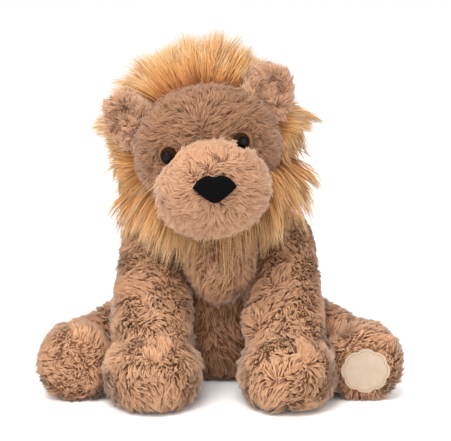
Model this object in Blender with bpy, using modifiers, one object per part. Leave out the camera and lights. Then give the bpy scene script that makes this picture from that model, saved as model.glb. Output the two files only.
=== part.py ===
"""Sitting plush lion: plush skins in panels over stuffing, with a mane, safety eyes and a sole patch.

Metres, +Z up. The lion faces -Y and its left side is +X. The origin is on the ground, at the
middle of its box. The head, the neck, both arms, both legs and the tail turn on their seams.
"""

import math

import bmesh
import bpy
from mathutils import Matrix, Vector

for old in list(bpy.data.objects):
    bpy.data.objects.remove(old, do_unlink=True)

# Cloth, seams and running gaps
PLUSH_WALL = 0.005
SEAM_GAP = 0.0003
FIT_GAP = 0.0004
STUFFING_GAP = 0.0008
BALL_GAP = 0.0009
SWEEP_GAP = 0.0009
FLOOR_CUT = 0.0005
OVERRUN = 0.4
MERGE_DISTANCE = 0.00001
SMOOTH_BELOW_DEG = 40.0

# Soft forms: sides and rows of a cage, and the share that makes up for what subdividing takes off.
# Hollows and fillings keep the plain cage.
OUTER_CAGE = (8, 6)
OUTER_CAGE_SHARE = 1.10
SMALL_CAGE = (8, 4)
SMALL_CAGE_SHARE = 1.15
INNER_CAGE_SHARE = 1.0

# Torso
TORSO_HALF_WIDTH = 0.062
TORSO_HALF_DEPTH = 0.058
TORSO_HALF_HEIGHT = 0.0862
TORSO_BACK_SET = 0.030
BELLY_SEAM_Y = 0.012
TORSO_SWELL_SHARES = (
    (-1.0, 1.60, 0.0),
    (-0.866, 1.60, 0.0),
    (-0.5, 1.12, 0.0),
    (0.0, 0.94, -0.05),
    (0.5, 0.86, -0.17),
    (0.866, 1.00, -0.22),
    (1.0, 1.00, -0.22),
)
BEAN_HALF_WIDTH = 0.040
BEAN_HALF_DEPTH = 0.036
BEAN_HALF_HEIGHT = 0.022
BEAN_LIFT = 0.012

# Neck: the middle of its ball, and the balls of the torso and of the neck pad
NECK_SINK = 0.020
NECK_BACK_SET = 0.014
NECK_PIVOT = Vector((0.0, NECK_BACK_SET, 2 * TORSO_HALF_HEIGHT - NECK_SINK))
NECK_BALL_RADIUS = 0.040
NECK_PAD_THICKNESS = 0.0025
NECK_SKIN_THICKNESS = 0.0026
NECK_RIM_DEG = 80.0
FINE_BALL = (24, 16)
PLAIN_BALL = (16, 10)
TURN_SIDES = 20
TURN_STEP_DEG = 16.0

# Head, in a frame at the neck's pivot that leans with it
HEAD_ROLL_DEG = -11.3
HEAD_HALF_WIDTH = 0.062
HEAD_HALF_DEPTH = 0.057
HEAD_HALF_HEIGHT = 0.054
HEAD_FORWARD = 0.021
HEAD_RISE = 0.058
GUSSET_HALF_WIDTH = 0.021
HEAD_BACK_SEAM = 0.008
HEAD_SWELL_SHARES = (
    (-1.0, 1.0, 0.0),
    (-0.5, 1.03, -0.02),
    (0.0, 1.0, 0.0),
    (0.5, 0.99, 0.0),
    (1.0, 1.0, 0.0),
)

# Muzzle and nose
MUZZLE_HALF_WIDTH = 0.0465
MUZZLE_HALF_DEPTH = 0.038
MUZZLE_HALF_HEIGHT = 0.0408
MUZZLE_FORWARD = 0.082
MUZZLE_RISE = 0.0318
CHIN_SEAM_DROP = 0.014
MUZZLE_SWELL_SHARES = (
    (-1.0, 1.02, 0.0),
    (-0.5, 1.05, 0.0),
    (0.0, 1.02, 0.0),
    (0.5, 1.02, 0.0),
    (0.866, 1.1, 0.0),
    (1.0, 1.1, 0.0),
)
NOSE_HALF_WIDTH = 0.0170
NOSE_HALF_HEIGHT = 0.0118
NOSE_HALF_DEPTH = 0.0085
NOSE_ABOVE_MUZZLE = 0.0072
NOSE_SINK = 0.0072
NOSE_SIDE_STEP = 0.0035
NOSE_LEVEL_DEG = 9.0
NOSE_SWELL_SHARES = (
    (-1.0, 0.55, 0.0),
    (-0.5, 0.66, 0.0),
    (0.0, 1.0, 0.0),
    (0.5, 1.12, 0.0),
    (1.0, 1.25, 0.0),
)

# Safety eyes: a dome on a shank, held inside by a washer
EYE_RADIUS = 0.0076
EYE_DOME_HEIGHT = 0.0048
EYE_RIM_HEIGHT = 0.0012
EYE_SHANK_RADIUS = 0.0021
EYE_SHANK_LENGTH = 0.0125
EYE_SPREAD = 0.0310
EYE_RISE = 0.0058
EYE_TOE_DEG = 22.0
EYE_SEAT = 0.0008
WASHER_RADIUS = 0.0080
WASHER_THICKNESS = 0.0016
EYE_SIDES = 16
EYE_DOME_DEG = (0.0, 30.0, 60.0, 90.0)

# Ears
EAR_HALF_WIDTH = 0.0225
EAR_HALF_DEPTH = 0.0085
EAR_HALF_HEIGHT = 0.0260
EAR_SPREAD = 0.0600
EAR_BACK_SET = 0.004
EAR_RISE = 0.0340
EAR_LEAN_DEG = 28.0
EAR_TOE_DEG = 14.0
EAR_CUP_SHARE = 0.72
EAR_CUP_DEPTH = 0.0048

# Mane: a fur panel round the back of the head
MANE_HALF_WIDTH = 0.091
MANE_HALF_DEPTH = 0.048
MANE_HALF_HEIGHT = 0.086
MANE_BACK_SET = 0.015
MANE_RISE = 0.053
MANE_CREST_SEAM = 0.020
MANE_NEAR_LIFT_DEG = 18.0
MANE_FAR_LIFT_DEG = 7.4
MANE_ROOM_RISE = 0.0012

# Chest mane: a pad of the same fur that hangs down the throat between the arms
CHEST_MANE_HALF_WIDTH = 0.034
CHEST_MANE_HALF_DEPTH = 0.029
CHEST_MANE_HALF_HEIGHT = 0.031
CHEST_MANE_FORWARD = 0.030
CHEST_MANE_DROP = 0.037
CHIN_ROOM_DROP = 0.0137

# Arms and front paws, from a ball at the shoulder
SHOULDER_SPREAD = 0.056
SHOULDER_BACK_SET = 0.006
SHOULDER_DROP = 0.032
SHOULDER = Vector((SHOULDER_SPREAD, SHOULDER_BACK_SET, NECK_PIVOT.z - SHOULDER_DROP))
SHOULDER_BALL_RADIUS = 0.0342
WRIST_SPREAD = 0.001
WRIST_FORWARD = 0.068
WRIST_DROP = 0.070
ARM_HALF_WIDTH = 0.0330
ARM_HALF_DEPTH = 0.0285
ARM_END_LENGTH = 0.0300
ARM_SWELL_SHARES = (
    (-1.0, 1.62, 0.0),
    (-0.866, 1.62, 0.0),
    (-0.5, 1.20, 0.0),
    (0.0, 0.99, 0.0),
    (0.5, 1.03, 0.0),
    (0.866, 1.36, 0.0),
    (1.0, 1.36, 0.0),
)
PAW_HALF_WIDTH = 0.0405
PAW_HALF_DEPTH = 0.0420
PAW_HALF_HEIGHT = 0.0310
PAW_FORWARD = 0.016
PAW_SWELL_SHARES = (
    (-1.0, 1.40, 0.0),
    (-0.866, 1.40, 0.0),
    (-0.5, 1.10, 0.0),
    (0.0, 1.0, 0.0),
    (1.0, 1.0, 0.0),
)
ARM_LIFT_DEG = 25.0
ARM_ROOM_LENGTH = 0.110

# Legs and hind feet, from a ball at the hip
HIP_SPREAD = 0.052
HIP_BACK_SET = 0.040
HIP_RISE = 0.0355
HIP = Vector((HIP_SPREAD, HIP_BACK_SET, HIP_RISE))
HIP_BALL_RADIUS = 0.0376
FOOT_SPREAD = 0.0715
FOOT_FORWARD = 0.088
FOOT_HALF_WIDTH = 0.0310
FOOT_HALF_HEIGHT = 0.0325
FOOT_HALF_DEPTH = 0.0310
FOOT_SETTLE = 0.0012
SOLE_TRIM = 0.0035
SOLE_SEAM_DEPTH = 0.014
LEG_HALF_WIDTH = 0.0275
LEG_HALF_HEIGHT = 0.0357
LEG_END_LENGTH = 0.0330
LEG_FOOT_END_LENGTH = 0.0130
LEG_SWELL_SHARES = (
    (-1.0, 1.38, 0.0),
    (-0.866, 1.38, 0.0),
    (-0.5, 0.96, 0.0),
    (0.0, 0.98, 0.0),
    (0.5, 1.15, 0.0),
    (0.866, 1.58, 0.0),
    (1.0, 1.58, 0.0),
)
FOOT_SWELL_SHARES = (
    (-1.0, 1.0, 0.0),
    (-0.5, 1.0, 0.0),
    (0.0, 1.0, 0.0),
    (0.5, 1.16, 0.0),
    (0.866, 1.76, 0.0),
    (1.0, 1.76, 0.0),
)
LEG_SPLAY_DEG = 25.0
LEG_ROOM_LENGTH = 0.110

# Sole patch: a lobed disc with a raised rim of stitching
PATCH_HALF_WIDTH = 0.0200
PATCH_HALF_HEIGHT = 0.0185
PATCH_THICKNESS = 0.0016
PATCH_LOBES = 8
PATCH_LOBE_SHARE = 0.045
PATCH_STEPS = 40
PATCH_DROP = 0.003
STITCH_INSET = 0.0026
STITCH_RADIUS = 0.0006

# Tail, laid round behind the seat, with a tuft
TAIL_ROOT_BACK = 0.079
TAIL_ROOT_RISE = 0.024
TAIL_ROOT = Vector((0.0, TAIL_ROOT_BACK, TAIL_ROOT_RISE))
TAIL_RADIUS = 0.0075
TAIL_WALL = 0.0022
TAIL_HOLE_GAP = 0.0004
TAIL_REACH = 0.085
TAIL_BACK = 0.0325
TAIL_SWEEP_DEG = 150.0
TAIL_SETTLE_SHARE = 0.45
TAIL_FILL_SHARE = 0.95
TAIL_FLOOR_GAP = 0.0006
TAIL_POINTS = 9
TUFT_HALF_LENGTH = 0.026
TUFT_HALF_WIDTH = 0.0135
TUFT_OUT_SHARE = 0.6


def new_collection(name):
    made = bpy.data.collections.new(name)
    bpy.context.scene.collection.children.link(made)
    return made


PARTS = new_collection("plush_lion")
CUTTERS = new_collection("cutters")


def plush(name, colour, roughness=0.95):
    made = bpy.data.materials.new(name)
    made.use_nodes = True
    shader = made.node_tree.nodes["Principled BSDF"]
    shader.inputs["Base Color"].default_value = (*colour, 1.0)
    shader.inputs["Roughness"].default_value = roughness
    shader.inputs["Metallic"].default_value = 0.0
    return made


BODY_FUR_COLOUR = (0.50, 0.28, 0.15)
FACE_FUR_COLOUR = (0.56, 0.33, 0.20)
EAR_FUR_COLOUR = (0.46, 0.25, 0.13)
MANE_FUR_COLOUR = (0.72, 0.40, 0.16)
FIBRE_COLOUR = (0.88, 0.87, 0.84)
PELLETS_COLOUR = (0.70, 0.70, 0.72)
VELVET_COLOUR = (0.01, 0.01, 0.012)
GLOSS_BLACK_COLOUR = (0.015, 0.010, 0.008)
WASHER_WHITE_COLOUR = (0.85, 0.85, 0.85)
LEATHERETTE_COLOUR = (0.80, 0.62, 0.48)
THREAD_COLOUR = (0.84, 0.68, 0.42)


def pivot(name, place, parent=None, turn=(0.0, 0.0, 0.0)):
    """An empty on a joint's axis, which the pieces of one moving body hang from."""
    made = bpy.data.objects.new(name, None)
    CUTTERS.objects.link(made)
    made.parent = parent
    made.location = place
    made.rotation_euler = turn
    return made


def shares_at(table, height):
    """The shares of a swell table at a height from -1 to 1, between its rows."""
    for low, high in zip(table, table[1:]):
        if height <= high[0]:
            part = (height - low[0]) / (high[0] - low[0])
            return [a + (b - a) * part for a, b in zip(low[1:], high[1:])]
    return table[-1][1:]


def link(name, mesh, parent, cutter):
    made = bpy.data.objects.new(name, mesh)
    (CUTTERS if cutter else PARTS).objects.link(made)
    made.parent = parent
    if cutter:
        made.hide_render = True
        made.display_type = "WIRE"
    return made


def soft_form(name, half, place, swell, grow=0.0, parent=None, cutter=False, small=False):
    """A swelling, tapering form from a coarse cage: half sizes, a place matrix, and a swell table."""
    inner = grow < 0.0
    sides, rows = SMALL_CAGE if small else OUTER_CAGE
    cage_share = SMALL_CAGE_SHARE if small else OUTER_CAGE_SHARE
    if inner:
        cage_share = INNER_CAGE_SHARE
    shape = bmesh.new()
    bmesh.ops.create_uvsphere(shape, u_segments=sides, v_segments=rows, radius=1.0)
    for corner in shape.verts:
        girth, forward = shares_at(swell, corner.co.z)
        corner.co = Vector((
            corner.co.x * girth * (half[0] + grow) * cage_share,
            corner.co.y * girth * (half[1] + grow) * cage_share + forward * half[1],
            corner.co.z * (half[2] + grow) * cage_share,
        ))
    bmesh.ops.transform(shape, matrix=place, verts=shape.verts)
    mesh = bpy.data.meshes.new(name)
    shape.to_mesh(mesh)
    shape.free()
    mesh.shade_smooth()
    made = link(name, mesh, parent, cutter)
    if not inner:
        smooth = made.modifiers.new("Soft", "SUBSURF")
        smooth.levels = smooth.render_levels = 1
    return made


def ball(name, radius, centre, parent=None, facets=PLAIN_BALL):
    shape = bmesh.new()
    bmesh.ops.create_uvsphere(shape, u_segments=facets[0], v_segments=facets[1], radius=radius)
    bmesh.ops.transform(shape, matrix=Matrix.Translation(centre), verts=shape.verts)
    mesh = bpy.data.meshes.new(name)
    shape.to_mesh(mesh)
    shape.free()
    mesh.shade_smooth()
    return link(name, mesh, parent, True)


def block(name, face, normal, parent=None):
    """A large box that takes away all that lies past a plane, on the side its normal points to."""
    shape = bmesh.new()
    bmesh.ops.create_cube(shape, size=OVERRUN)
    turn = Vector(normal).to_track_quat("Z", "Y").to_matrix().to_4x4()
    lift = Matrix.Translation((0.0, 0.0, OVERRUN / 2))
    matrix = Matrix.Translation(face) @ turn @ lift
    bmesh.ops.transform(shape, matrix=matrix, verts=shape.verts)
    mesh = bpy.data.meshes.new(name)
    shape.to_mesh(mesh)
    shape.free()
    return link(name, mesh, parent, True)


def room_box(name, low, high, frame, parent):
    """A box between two corners in a turned frame, which a moving limb needs to itself."""
    shape = bmesh.new()
    bmesh.ops.create_cube(shape, size=1.0)
    size = high - low
    middle = Matrix.Translation((low + high) / 2)
    matrix = frame @ middle @ Matrix.Diagonal((*size, 1.0))
    bmesh.ops.transform(shape, matrix=matrix, verts=shape.verts)
    bmesh.ops.recalc_face_normals(shape, faces=shape.faces)
    mesh = bpy.data.meshes.new(name)
    shape.to_mesh(mesh)
    shape.free()
    return link(name, mesh, parent, True)


def turned(name, profile, place, sides, parent=None, cutter=False):
    """A profile of (radius, height) turned about Z, top to bottom down its outer side."""
    mesh = bpy.data.meshes.new(name)
    corners = [(radius, 0.0, height) for radius, height in profile]
    mesh.from_pydata(corners, [(i, i + 1) for i in range(len(corners) - 1)], [])
    raw = bpy.data.objects.new(name + "_profile", mesh)
    CUTTERS.objects.link(raw)
    lathe = raw.modifiers.new("Turn", "SCREW")
    lathe.angle = math.tau
    lathe.steps = lathe.render_steps = sides
    lathe.use_merge_vertices = True
    lathe.merge_threshold = MERGE_DISTANCE
    lathe.use_normal_calculate = True
    seen = raw.evaluated_get(bpy.context.evaluated_depsgraph_get())
    solid = bpy.data.meshes.new_from_object(seen)
    bpy.data.objects.remove(raw, do_unlink=True)
    shape = bmesh.new()
    shape.from_mesh(solid)
    bmesh.ops.remove_doubles(shape, verts=shape.verts, dist=MERGE_DISTANCE)
    bmesh.ops.recalc_face_normals(shape, faces=shape.faces)
    bmesh.ops.transform(shape, matrix=place, verts=shape.verts)
    shape.to_mesh(solid)
    shape.free()
    solid.name = name
    solid.shade_smooth()
    solid.set_sharp_from_angle(angle=math.radians(SMOOTH_BELOW_DEG))
    return link(name, solid, parent, cutter)


def boolean(made, other, operation="DIFFERENCE", solver="EXACT"):
    step = made.modifiers.new(other.name, "BOOLEAN")
    step.operation = operation
    step.solver = solver
    step.object = other
    return made


def cut(made, *others, solver="EXACT"):
    for other in others:
        boolean(made, other, solver=solver)
    return made


def finish(made, material):
    made.data.materials.clear()
    made.data.materials.append(material)
    return made


def along(start, end):
    """A place matrix half way from start to end, with Z along the way to end."""
    way = end - start
    return Matrix.Translation((start + end) / 2) @ way.to_track_quat("Z", "Y").to_matrix().to_4x4()


def upright(centre):
    return Matrix.Translation(centre)


def mirrored(vector, side):
    return Vector((vector.x * side, vector.y, vector.z))


MIRROR_SHARES = (("left", 1.0), ("right", -1.0))
FLOOR = block("floor", (0.0, 0.0, 0.0), (0.0, 0.0, -1.0))

neck_axis = pivot("neck_axis", NECK_PIVOT)
head_axis = pivot("head_axis", (0.0, 0.0, 0.0), neck_axis, (0.0, math.radians(HEAD_ROLL_DEG), 0.0))


# Shared forms of each limb
class Arm:
    """One arm: its forms at any growth, in the frame of its shoulder."""

    wrist = Vector((WRIST_SPREAD, -WRIST_FORWARD, -WRIST_DROP))
    paw_middle = Vector((
        WRIST_SPREAD,
        -WRIST_FORWARD - PAW_FORWARD,
        PAW_HALF_HEIGHT - FLOOR_CUT - SHOULDER.z,
    ))

    def __init__(self, name, side):
        self.name, self.side = name, side
        self.axis = pivot("shoulder_axis_" + name, mirrored(SHOULDER, side))
        self.half = (
            ARM_HALF_WIDTH,
            ARM_HALF_DEPTH,
            self.wrist.length / 2 + ARM_END_LENGTH,
        )

    def sleeve(self, name, grow, cutter=True):
        end = mirrored(self.wrist, self.side)
        place = along(end, Vector((0.0, 0.0, 0.0)))
        return soft_form(name, self.half, place, ARM_SWELL_SHARES, grow, self.axis, cutter)

    def paw(self, name, grow, cutter=True):
        place = upright(mirrored(self.paw_middle, self.side))
        half = (PAW_HALF_WIDTH, PAW_HALF_DEPTH, PAW_HALF_HEIGHT)
        return soft_form(name, half, place, PAW_SWELL_SHARES, grow, self.axis, cutter)

    def rooms(self):
        """Cutters for the room that the arm needs from rest to its highest."""
        name, side = self.name, self.side
        inner = SHOULDER.x - ARM_HALF_WIDTH - SWEEP_GAP
        outer = SHOULDER.x + ARM_HALF_WIDTH + SWEEP_GAP
        made = [
            ball("shoulder_ball_" + name, SHOULDER_BALL_RADIUS + BALL_GAP, (0.0, 0.0, 0.0), self.axis),
            self.sleeve("arm_sleeve_room_" + name, SWEEP_GAP),
        ]
        rest = math.atan2(WRIST_DROP, WRIST_FORWARD)
        for step, lift in enumerate((0.0, math.radians(ARM_LIFT_DEG))):
            frame = Matrix.Rotation(rest - lift, 4, "X")
            across = sorted((side * (inner - SHOULDER.x), side * (outer - SHOULDER.x)))
            low = Vector((across[0], -ARM_ROOM_LENGTH, 0.0))
            high = Vector((across[1], 0.0, ARM_HALF_DEPTH + SWEEP_GAP))
            made.append(room_box(f"arm_lift_room_{name}_{step}", low, high, frame, self.axis))
        return made


class Leg:
    """One leg: its forms at any growth, in the frame of its hip."""

    def __init__(self, name, side):
        self.name, self.side = name, side
        self.axis = pivot("hip_axis_" + name, mirrored(HIP, side))
        self.foot_middle = Vector((
            FOOT_SPREAD * side,
            -FOOT_FORWARD,
            FOOT_HALF_HEIGHT - FLOOR_CUT - FOOT_SETTLE - HIP.z,
        ))
        self.half = (
            LEG_HALF_WIDTH,
            LEG_HALF_HEIGHT,
            (self.foot_middle.length + LEG_END_LENGTH + LEG_FOOT_END_LENGTH) / 2,
        )

    def thigh(self, name, grow, cutter=True):
        way = -self.foot_middle
        across = way.cross(Vector((0.0, 0.0, 1.0))).normalized()
        frame = Matrix((across, across.cross(way.normalized()), way.normalized())).transposed()
        if frame.determinant() < 0.0:
            frame = Matrix((-across, across.cross(way.normalized()), way.normalized())).transposed()
        reach = (self.foot_middle.length + LEG_FOOT_END_LENGTH - LEG_END_LENGTH) / 2
        place = Matrix.Translation(self.foot_middle.normalized() * reach) @ frame.to_4x4()
        return soft_form(name, self.half, place, LEG_SWELL_SHARES, grow, self.axis, cutter)

    def foot(self, name, grow, cutter=True):
        turn = Vector((0.0, -1.0, 0.0)).to_track_quat("Z", "Y").to_matrix().to_4x4()
        place = Matrix.Translation(self.foot_middle) @ turn
        half = (FOOT_HALF_WIDTH, FOOT_HALF_HEIGHT, FOOT_HALF_DEPTH)
        return soft_form(name, half, place, FOOT_SWELL_SHARES, grow, self.axis, cutter)

    def rooms(self):
        """Cutters for the room that the leg needs from rest to its widest."""
        name, side = self.name, self.side
        made = [
            ball("hip_ball_" + name, HIP_BALL_RADIUS + BALL_GAP, (0.0, 0.0, 0.0), self.axis),
            self.thigh("leg_thigh_room_" + name, SWEEP_GAP),
        ]
        rest = math.atan2(FOOT_FORWARD, FOOT_SPREAD)
        turn = (rest - math.radians(LEG_SPLAY_DEG)) * -side
        frame = Matrix.Rotation(turn, 4, "Z")
        along_leg = sorted((0.0, side * LEG_ROOM_LENGTH))
        low = Vector((along_leg[0], 0.0, -HIP.z))
        high = Vector((along_leg[1], LEG_HALF_WIDTH + SWEEP_GAP, LEG_HALF_HEIGHT))
        made.append(room_box("leg_splay_room_" + name, low, high, frame, self.axis))
        return made


ARMS = [Arm(name, side) for name, side in MIRROR_SHARES]
LEGS = [Leg(name, side) for name, side in MIRROR_SHARES]
LIMB_ROOM = [cutter for limb in (*ARMS, *LEGS) for cutter in limb.rooms()]


# Torso: a belly panel and two back panels over stuffing, with a bag of pellets in the seat
def torso_form(name, grow, cutter=True):
    half = (TORSO_HALF_WIDTH, TORSO_HALF_DEPTH, TORSO_HALF_HEIGHT)
    place = upright((0.0, TORSO_BACK_SET, TORSO_HALF_HEIGHT - FLOOR_CUT))
    made = soft_form(name, half, place, TORSO_SWELL_SHARES, grow, None, cutter)
    top = ball(name + "_neck_ball", NECK_BALL_RADIUS + grow, NECK_PIVOT)
    return boolean(made, top, "UNION", "MANIFOLD")


def torso_panel(name, *sides):
    cutters = (TORSO_HOLLOW, FLOOR, *LIMB_ROOM, TAIL_HOLE, *sides)
    made = cut(torso_form(name, 0.0, False), *cutters, solver="MANIFOLD")
    return finish(made, plush(name, BODY_FUR_COLOUR))


TORSO_HOLLOW = torso_form("torso_hollow", -PLUSH_WALL)
TAIL_HOLE = ball("tail_hole", TAIL_RADIUS + TAIL_HOLE_GAP, TAIL_ROOT, None, FINE_BALL)
HALF_SEAM = SEAM_GAP / 2
torso_panel("belly_panel", block("behind_belly", (0.0, BELLY_SEAM_Y - HALF_SEAM, 0.0), (0.0, 1.0, 0.0)))
before_back = block("before_back", (0.0, BELLY_SEAM_Y + HALF_SEAM, 0.0), (0.0, -1.0, 0.0))
for name, side in MIRROR_SHARES:
    other_half = block("past_" + name, (HALF_SEAM * side, 0.0, 0.0), (-side, 0.0, 0.0))
    torso_panel("back_panel_" + name, before_back, other_half)

bean_half = (BEAN_HALF_WIDTH, BEAN_HALF_DEPTH, BEAN_HALF_HEIGHT)
bean_place = upright((0.0, TORSO_BACK_SET, BEAN_LIFT))
ROUND_SHARES = ((-1.0, 1.0, 0.0), (1.0, 1.0, 0.0))
bean_room = soft_form("bean_room", bean_half, bean_place, ROUND_SHARES, FIT_GAP, None, True, True)
stuffing_form = torso_form("stuffing_form", -PLUSH_WALL - STUFFING_GAP)
seat_floor = block("seat_floor", (0.0, 0.0, PLUSH_WALL + STUFFING_GAP), (0.0, 0.0, -1.0))
beans = soft_form("bean_bag", bean_half, bean_place, ROUND_SHARES, small=True)
boolean(beans, stuffing_form, "INTERSECT", "MANIFOLD")
finish(cut(beans, seat_floor, *LIMB_ROOM, solver="MANIFOLD"), plush("bean_bag", PELLETS_COLOUR))
stuffing = torso_form("body_stuffing", -PLUSH_WALL - STUFFING_GAP, False)
cut(stuffing, seat_floor, bean_room, TAIL_HOLE, *LIMB_ROOM, solver="MANIFOLD")
finish(stuffing, plush("body_stuffing", FIBRE_COLOUR))


# Neck: a pad of fibre under a plush cap, between the torso's ball and the head
def dome_profile(inner, outer):
    """A cap between two radii about the pivot, from its top round its rim and back up inside."""
    steps = round(NECK_RIM_DEG / TURN_STEP_DEG)
    angles = [math.radians(TURN_STEP_DEG) * i for i in range(steps + 1)]
    down = [(outer * math.sin(a), outer * math.cos(a)) for a in angles]
    up = [(inner * math.sin(a), inner * math.cos(a)) for a in reversed(angles)]
    return down + up


pad_inner = NECK_BALL_RADIUS + BALL_GAP
pad_outer = pad_inner + NECK_PAD_THICKNESS
skin_inner = pad_outer + SEAM_GAP
skin_outer = skin_inner + NECK_SKIN_THICKNESS
neck_place = Matrix.Identity(4)
neck_pad = turned("neck_stuffing", dome_profile(pad_inner, pad_outer), neck_place, TURN_SIDES, neck_axis)
finish(neck_pad, plush("neck_stuffing", FIBRE_COLOUR))
neck_skin = turned("neck_skin", dome_profile(skin_inner, skin_outer), neck_place, TURN_SIDES, neck_axis)
finish(neck_skin, plush("neck_skin", BODY_FUR_COLOUR))
NECK_ROOM = ball("neck_room", skin_outer + BALL_GAP, (0.0, 0.0, 0.0), head_axis, FINE_BALL)


# Head: two side panels, a gusset over the crown and a back panel, over stuffing
def head_form(name, grow, cutter=True):
    half = (HEAD_HALF_WIDTH, HEAD_HALF_DEPTH, HEAD_HALF_HEIGHT)
    place = upright((0.0, -HEAD_FORWARD, HEAD_RISE))
    return soft_form(name, half, place, HEAD_SWELL_SHARES, grow, head_axis, cutter)


def muzzle_form(name, grow, cutter=True):
    half = (MUZZLE_HALF_WIDTH, MUZZLE_HALF_DEPTH, MUZZLE_HALF_HEIGHT)
    place = upright((0.0, -MUZZLE_FORWARD, MUZZLE_RISE))
    return soft_form(name, half, place, MUZZLE_SWELL_SHARES, grow, head_axis, cutter)


HEAD_HOLLOW = head_form("head_hollow", -PLUSH_WALL)
HEAD_ROOM = head_form("head_room", FIT_GAP)


def eye_place(side, out=0.0):
    """The seat of an eye on the face, its Z along the shank's way out."""
    rise = EYE_RISE
    depth = HEAD_HALF_DEPTH * math.sqrt(
        1.0 - (EYE_SPREAD / HEAD_HALF_WIDTH) ** 2 - (rise / HEAD_HALF_HEIGHT) ** 2
    )
    seat = Vector((EYE_SPREAD * side, -HEAD_FORWARD - depth, HEAD_RISE + rise))
    toe = math.radians(EYE_TOE_DEG)
    way = Vector((math.sin(toe) * side, -math.cos(toe), 0.0))
    turn = way.to_track_quat("Z", "Y").to_matrix().to_4x4()
    return Matrix.Translation(seat + way * out) @ turn


def eye_profile(grow=0.0):
    """Dome, rim and shank of a safety eye, from the top of the dome down to the shank's tip."""
    dome = [
        (
            (EYE_RADIUS + grow) * math.sin(math.radians(a)),
            EYE_RIM_HEIGHT + (EYE_DOME_HEIGHT + grow) * math.cos(math.radians(a)),
        )
        for a in EYE_DOME_DEG
    ]
    under = -grow
    return dome + [
        (EYE_RADIUS + grow, under),
        (EYE_SHANK_RADIUS + grow, under),
        (EYE_SHANK_RADIUS + grow, -EYE_SHANK_LENGTH - grow),
        (0.0, -EYE_SHANK_LENGTH - grow),
    ]


def washer_profile(grow=0.0):
    top = -PLUSH_WALL - FIT_GAP + grow
    bottom = -PLUSH_WALL - FIT_GAP - WASHER_THICKNESS - grow
    inner = EYE_SHANK_RADIUS + SEAM_GAP
    return [
        (inner, top),
        (WASHER_RADIUS + grow, top),
        (WASHER_RADIUS + grow, bottom),
        (inner, bottom),
        (inner, top),
    ]


def washer_room_profile(top):
    """The pocket round a washer, from a height down to its underside."""
    bottom = -PLUSH_WALL - FIT_GAP - WASHER_THICKNESS - FIT_GAP
    edge = WASHER_RADIUS + FIT_GAP
    return [(0.0, top), (edge, top), (edge, bottom), (0.0, bottom)]


EYE_ROOMS = []
WASHER_ROOMS = []
WASHER_POCKETS = []
for name, side in MIRROR_SHARES:
    place = eye_place(side, EYE_SEAT - PLUSH_WALL / 2)
    eye = turned("eye_" + name, eye_profile(), place, EYE_SIDES, head_axis)
    finish(eye, plush("eye_" + name, GLOSS_BLACK_COLOUR, 0.08))
    washer = turned("eye_washer_" + name, washer_profile(), place, EYE_SIDES, head_axis)
    finish(washer, plush("eye_washer_" + name, WASHER_WHITE_COLOUR, 0.4))
    room = turned("eye_room_" + name, eye_profile(FIT_GAP), place, EYE_SIDES, head_axis, True)
    EYE_ROOMS.append(room)
    open_out = washer_room_profile(EYE_DOME_HEIGHT)
    room = turned("washer_room_" + name, open_out, place, EYE_SIDES, head_axis, True)
    WASHER_ROOMS.append(room)
    under_cloth = washer_room_profile(-PLUSH_WALL)
    room = turned("washer_pocket_" + name, under_cloth, place, EYE_SIDES, head_axis, True)
    WASHER_POCKETS.append(room)


def head_panel(name, *sides):
    cutters = (HEAD_HOLLOW, NECK_ROOM, *EYE_ROOMS, *WASHER_POCKETS, *sides)
    made = cut(head_form(name, 0.0, False), *cutters, solver="MANIFOLD")
    return finish(made, plush(name, FACE_FUR_COLOUR))


gusset_edge = {
    name: {
        way: block(
            f"gusset_{name}_{way}",
            ((GUSSET_HALF_WIDTH + way * HALF_SEAM) * side, 0.0, 0.0),
            (-side * way, 0.0, 0.0),
            head_axis,
        )
        for way in (1, -1)
    }
    for name, side in MIRROR_SHARES
}
behind_face = block("behind_face", (0.0, HEAD_BACK_SEAM - HALF_SEAM, 0.0), (0.0, 1.0, 0.0), head_axis)
before_nape = block("before_nape", (0.0, HEAD_BACK_SEAM + HALF_SEAM, 0.0), (0.0, -1.0, 0.0), head_axis)
for name, side in MIRROR_SHARES:
    head_panel("head_side_" + name, gusset_edge[name][1], behind_face)
head_panel("head_gusset", gusset_edge["left"][-1], gusset_edge["right"][-1], behind_face)
head_panel("head_back", before_nape)
head_fill = head_form("head_stuffing", -PLUSH_WALL - STUFFING_GAP, False)
cut(head_fill, NECK_ROOM, *EYE_ROOMS, *WASHER_ROOMS, solver="MANIFOLD")
finish(head_fill, plush("head_stuffing", FIBRE_COLOUR))


# Muzzle: an upper panel and a chin over their own stuffing, with a velvet nose
MUZZLE_HOLLOW = muzzle_form("muzzle_hollow", -PLUSH_WALL)
MUZZLE_ROOM = muzzle_form("muzzle_room", FIT_GAP)
chin_seam = MUZZLE_RISE - CHIN_SEAM_DROP
above_chin = block("above_chin", (0.0, 0.0, chin_seam - HALF_SEAM), (0.0, 0.0, 1.0), head_axis)
below_lip = block("below_lip", (0.0, 0.0, chin_seam + HALF_SEAM), (0.0, 0.0, -1.0), head_axis)
for name, edge in (("muzzle_upper", below_lip), ("muzzle_chin", above_chin)):
    made = cut(muzzle_form(name, 0.0, False), MUZZLE_HOLLOW, HEAD_ROOM, *EYE_ROOMS, edge)
    finish(made, plush(name, FACE_FUR_COLOUR))
muzzle_fill = cut(muzzle_form("muzzle_stuffing", -PLUSH_WALL - STUFFING_GAP, False), HEAD_ROOM)
finish(muzzle_fill, plush("muzzle_stuffing", FIBRE_COLOUR))

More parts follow.
